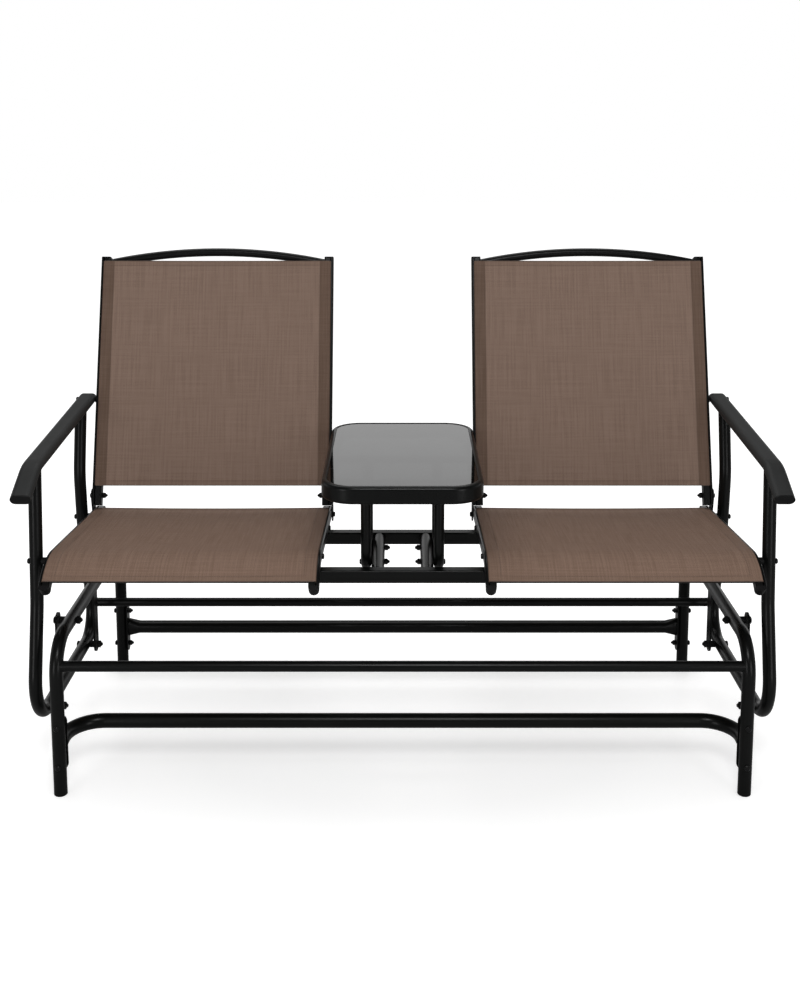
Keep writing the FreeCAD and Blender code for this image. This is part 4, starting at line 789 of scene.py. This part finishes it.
def edge_rolls(name, place, lift_at, left, right, runs):
    """A thin round roll across the cloth at each of the given runs."""
    points, faces = [], []
    xs = steps(left - SLOT_OFFSET + ROLL_INSET, right + SLOT_OFFSET - ROLL_INSET, ROLL_STEPS)
    for run in runs:
        first = len(points)
        for x in xs:
            for side in range(ROLL_SIDES):
                angle = 2 * math.pi * side / ROLL_SIDES
                along, above = ROLL_RADIUS * math.cos(angle), ROLL_RADIUS * math.sin(angle)
                points.append((place(run + along, lift_at(x, run) + above) + Vector((x, 0, 0))) * MM)
        for step in range(ROLL_STEPS):
            for side in range(ROLL_SIDES):
                corner = first + step * ROLL_SIDES + side
                beside = first + step * ROLL_SIDES + (side + 1) % ROLL_SIDES
                faces.append((corner, beside, beside + ROLL_SIDES, corner + ROLL_SIDES))
        faces.append(tuple(range(first, first + ROLL_SIDES)))
        faces.append(tuple(range(len(points) - ROLL_SIDES, len(points))))
    # The roll gets the thread's darker brown: painted shade along the cloth's folded edge.
    return closed_piece(name, points, faces, thread_and_edge_shade)


print("edge rolls", 2 * ROLL_RADIUS, "mm thick")

# %% Double the hems
END_HEM = 12.0
HEM_THICK = 0.8 * SHEET_THICK
HEM_BELOW = SHEET_THICK + 0.1
FROM_RAIL = 1.5
FROM_EDGE = 0.5
FROM_END_HEM = 0.6
STEPS_ACROSS = 48
STEPS_ALONG = 60
STEPS_IN_END_HEM = 4
STEPS_IN_SIDE_HEM = 3


def doubled_hems(part, place, lift_at, left, right, first, last, material):
    """The second layer under the cloth's four sides, as one piece."""
    near, far = left + RAIL_HALF + FROM_RAIL, right - RAIL_HALF - FROM_RAIL
    across = steps(near, far, STEPS_ACROSS)
    along = steps(first + END_HEM + FROM_END_HEM, last - END_HEM - FROM_END_HEM, STEPS_ALONG)
    strips = (
        ("rear", across, steps(first + FROM_EDGE, first + END_HEM, STEPS_IN_END_HEM)),
        ("front", across, steps(last - END_HEM, last - FROM_EDGE, STEPS_IN_END_HEM)),
        ("left", steps(near, left - SLOT_OFFSET + SIDE_HEM, STEPS_IN_SIDE_HEM), along),
        ("right", steps(right + SLOT_OFFSET - SIDE_HEM, far, STEPS_IN_SIDE_HEM), along))
    hems = []
    for side, xs, runs in strips:
        columns = [(x, lambda run, x=x: lift_at(x, run) - HEM_BELOW) for x in xs]
        hems.append(solid_sheet(part + "_hem_" + side, columns, runs, place, material, HEM_THICK))
    bpy.ops.object.select_all(action="DESELECT")
    for hem in hems:
        hem.select_set(True)
    bpy.context.view_layer.objects.active = hems[0]
    bpy.ops.object.join()
    doubled = bpy.context.object
    doubled.name = part + "_doubled_hems"
    return doubled


print("hems", SIDE_HEM, "mm wide at the sides and", END_HEM, "mm at the ends")

# %% [markdown]
# ## Four slings
# The seat's cloth runs from the rear of the rails over their bent nose, and the back's from its foot to the head bar.
# The seams lie a little inside the hems' edges, and everything that is sewn to a cloth moves with it.

# %% Make one sling
# Painted shade: how much darker the hems are painted at the ends and at the sides, the backs' side hems most.
END_HEM_PAINTED_SHADE = 0.25
SIDE_HEM_PAINTED_SHADE = {"seat": 0.3, "back": 1.0}
EVEN_ROWS = 72
SIDE_SEAM_INSET = 2.0
END_SEAM_INSET = 2.5
SEAM_FROM_REAR = 3.0
SEAM_FROM_FRONT = 2.0
SEAM_FROM_SLOT = 8.0


def make_sling(part, place, left, right, first, last, sag, cut):
    """One sling with its hems, rolls and stitches, riding on the carriage."""
    side, kind = part.split("_")
    lift_at = sling_shape(left, right, sag, first, last)
    low, high = left - SLOT_OFFSET, right + SLOT_OFFSET

    # The hem mark at each place of the cloth: its painted hem shade.
    def hem_and_painted_shade(x, run):
        if min(x - low, high - x) < SIDE_HEM:
            return SIDE_HEM_PAINTED_SHADE[kind]
        return END_HEM_PAINTED_SHADE if min(run - first, last - run) < END_HEM else 0.0

    rows = steps(first, last, EVEN_ROWS)
    for seam in (first + END_HEM, last - END_HEM):
        rows += [seam - HEM_EDGE, seam + HEM_EDGE]
    columns = sheet_columns(left, right, lift_at)
    cloth = solid_sheet(part + "_cloth", columns, sorted(rows), place, sling_cloth[kind], SHEET_THICK, hem_and_painted_shade)
    doubled = doubled_hems(part, place, lift_at, left, right, first, last, sling_cloth[kind])

    seams = []
    for x in (low + SIDE_HEM - SIDE_SEAM_INSET, high - SIDE_HEM + SIDE_SEAM_INSET):
        seams.append([(x, run) for run in stitch_places(first + SEAM_FROM_REAR, last - SEAM_FROM_FRONT)])
    for run in (first + END_HEM - END_SEAM_INSET, last - END_HEM + END_SEAM_INSET):
        seams.append([(x, run) for x in stitch_places(low + SEAM_FROM_SLOT, high - SEAM_FROM_SLOT)])
    thread = stitches(part + "_stitches", place, lift_at, seams)
    rolls = edge_rolls(part + "_edge_rolls", place, lift_at, left, right, (first, last))

    for piece in (cloth, doubled, thread, rolls):
        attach(piece, "carriage")
    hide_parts(part + "_sling")
    print(part, "cloth", len(cloth.data.polygons), "faces,", len(seams), "seams")


print("a sling: cloth, doubled hems, stitches and edge rolls")

# %% Make all four
NOSE_WRAP = math.radians(47.0)
SEAT_FIRST = 24.0
SEAT_LAST = SEAT_STRAIGHT + NOSE_BEND * NOSE_WRAP
SEAT_SAG = 4.0
SEAT_CUT = (0.545, 0.465)
BACK_FIRST = 40.0
BACK_LAST = 532.0
BACK_SAG = 3.0
BACK_CUT = (0.545, 0.52)


def rail_middle(name):
    """How far across a rail's middle stands."""
    low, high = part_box(name)
    return (low.x + high.x) / 2 / MM


for side in ("left", "right"):
    for kind, place, first, last, sag, cut in (
            ("seat", seat_place, SEAT_FIRST, SEAT_LAST, SEAT_SAG, SEAT_CUT),
            ("back", back_place, BACK_FIRST, BACK_LAST, BACK_SAG, BACK_CUT)):
        ends = sorted(rail_middle(side + where + kind + "_rail") for where in ("_inner_", "_outer_"))
        make_sling(side + "_" + kind, place, *ends, first, last, sag, cut)

# %% [markdown]
# ## The dressed size
# The last cell prints the size of the dressed glider, so that it can be set beside the frame's size printed at the
# start.

# %% Measure and finish
dressed_box = [list(corner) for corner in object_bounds()]
print("dressed: from", dressed_box[0], "to", dressed_box[1])
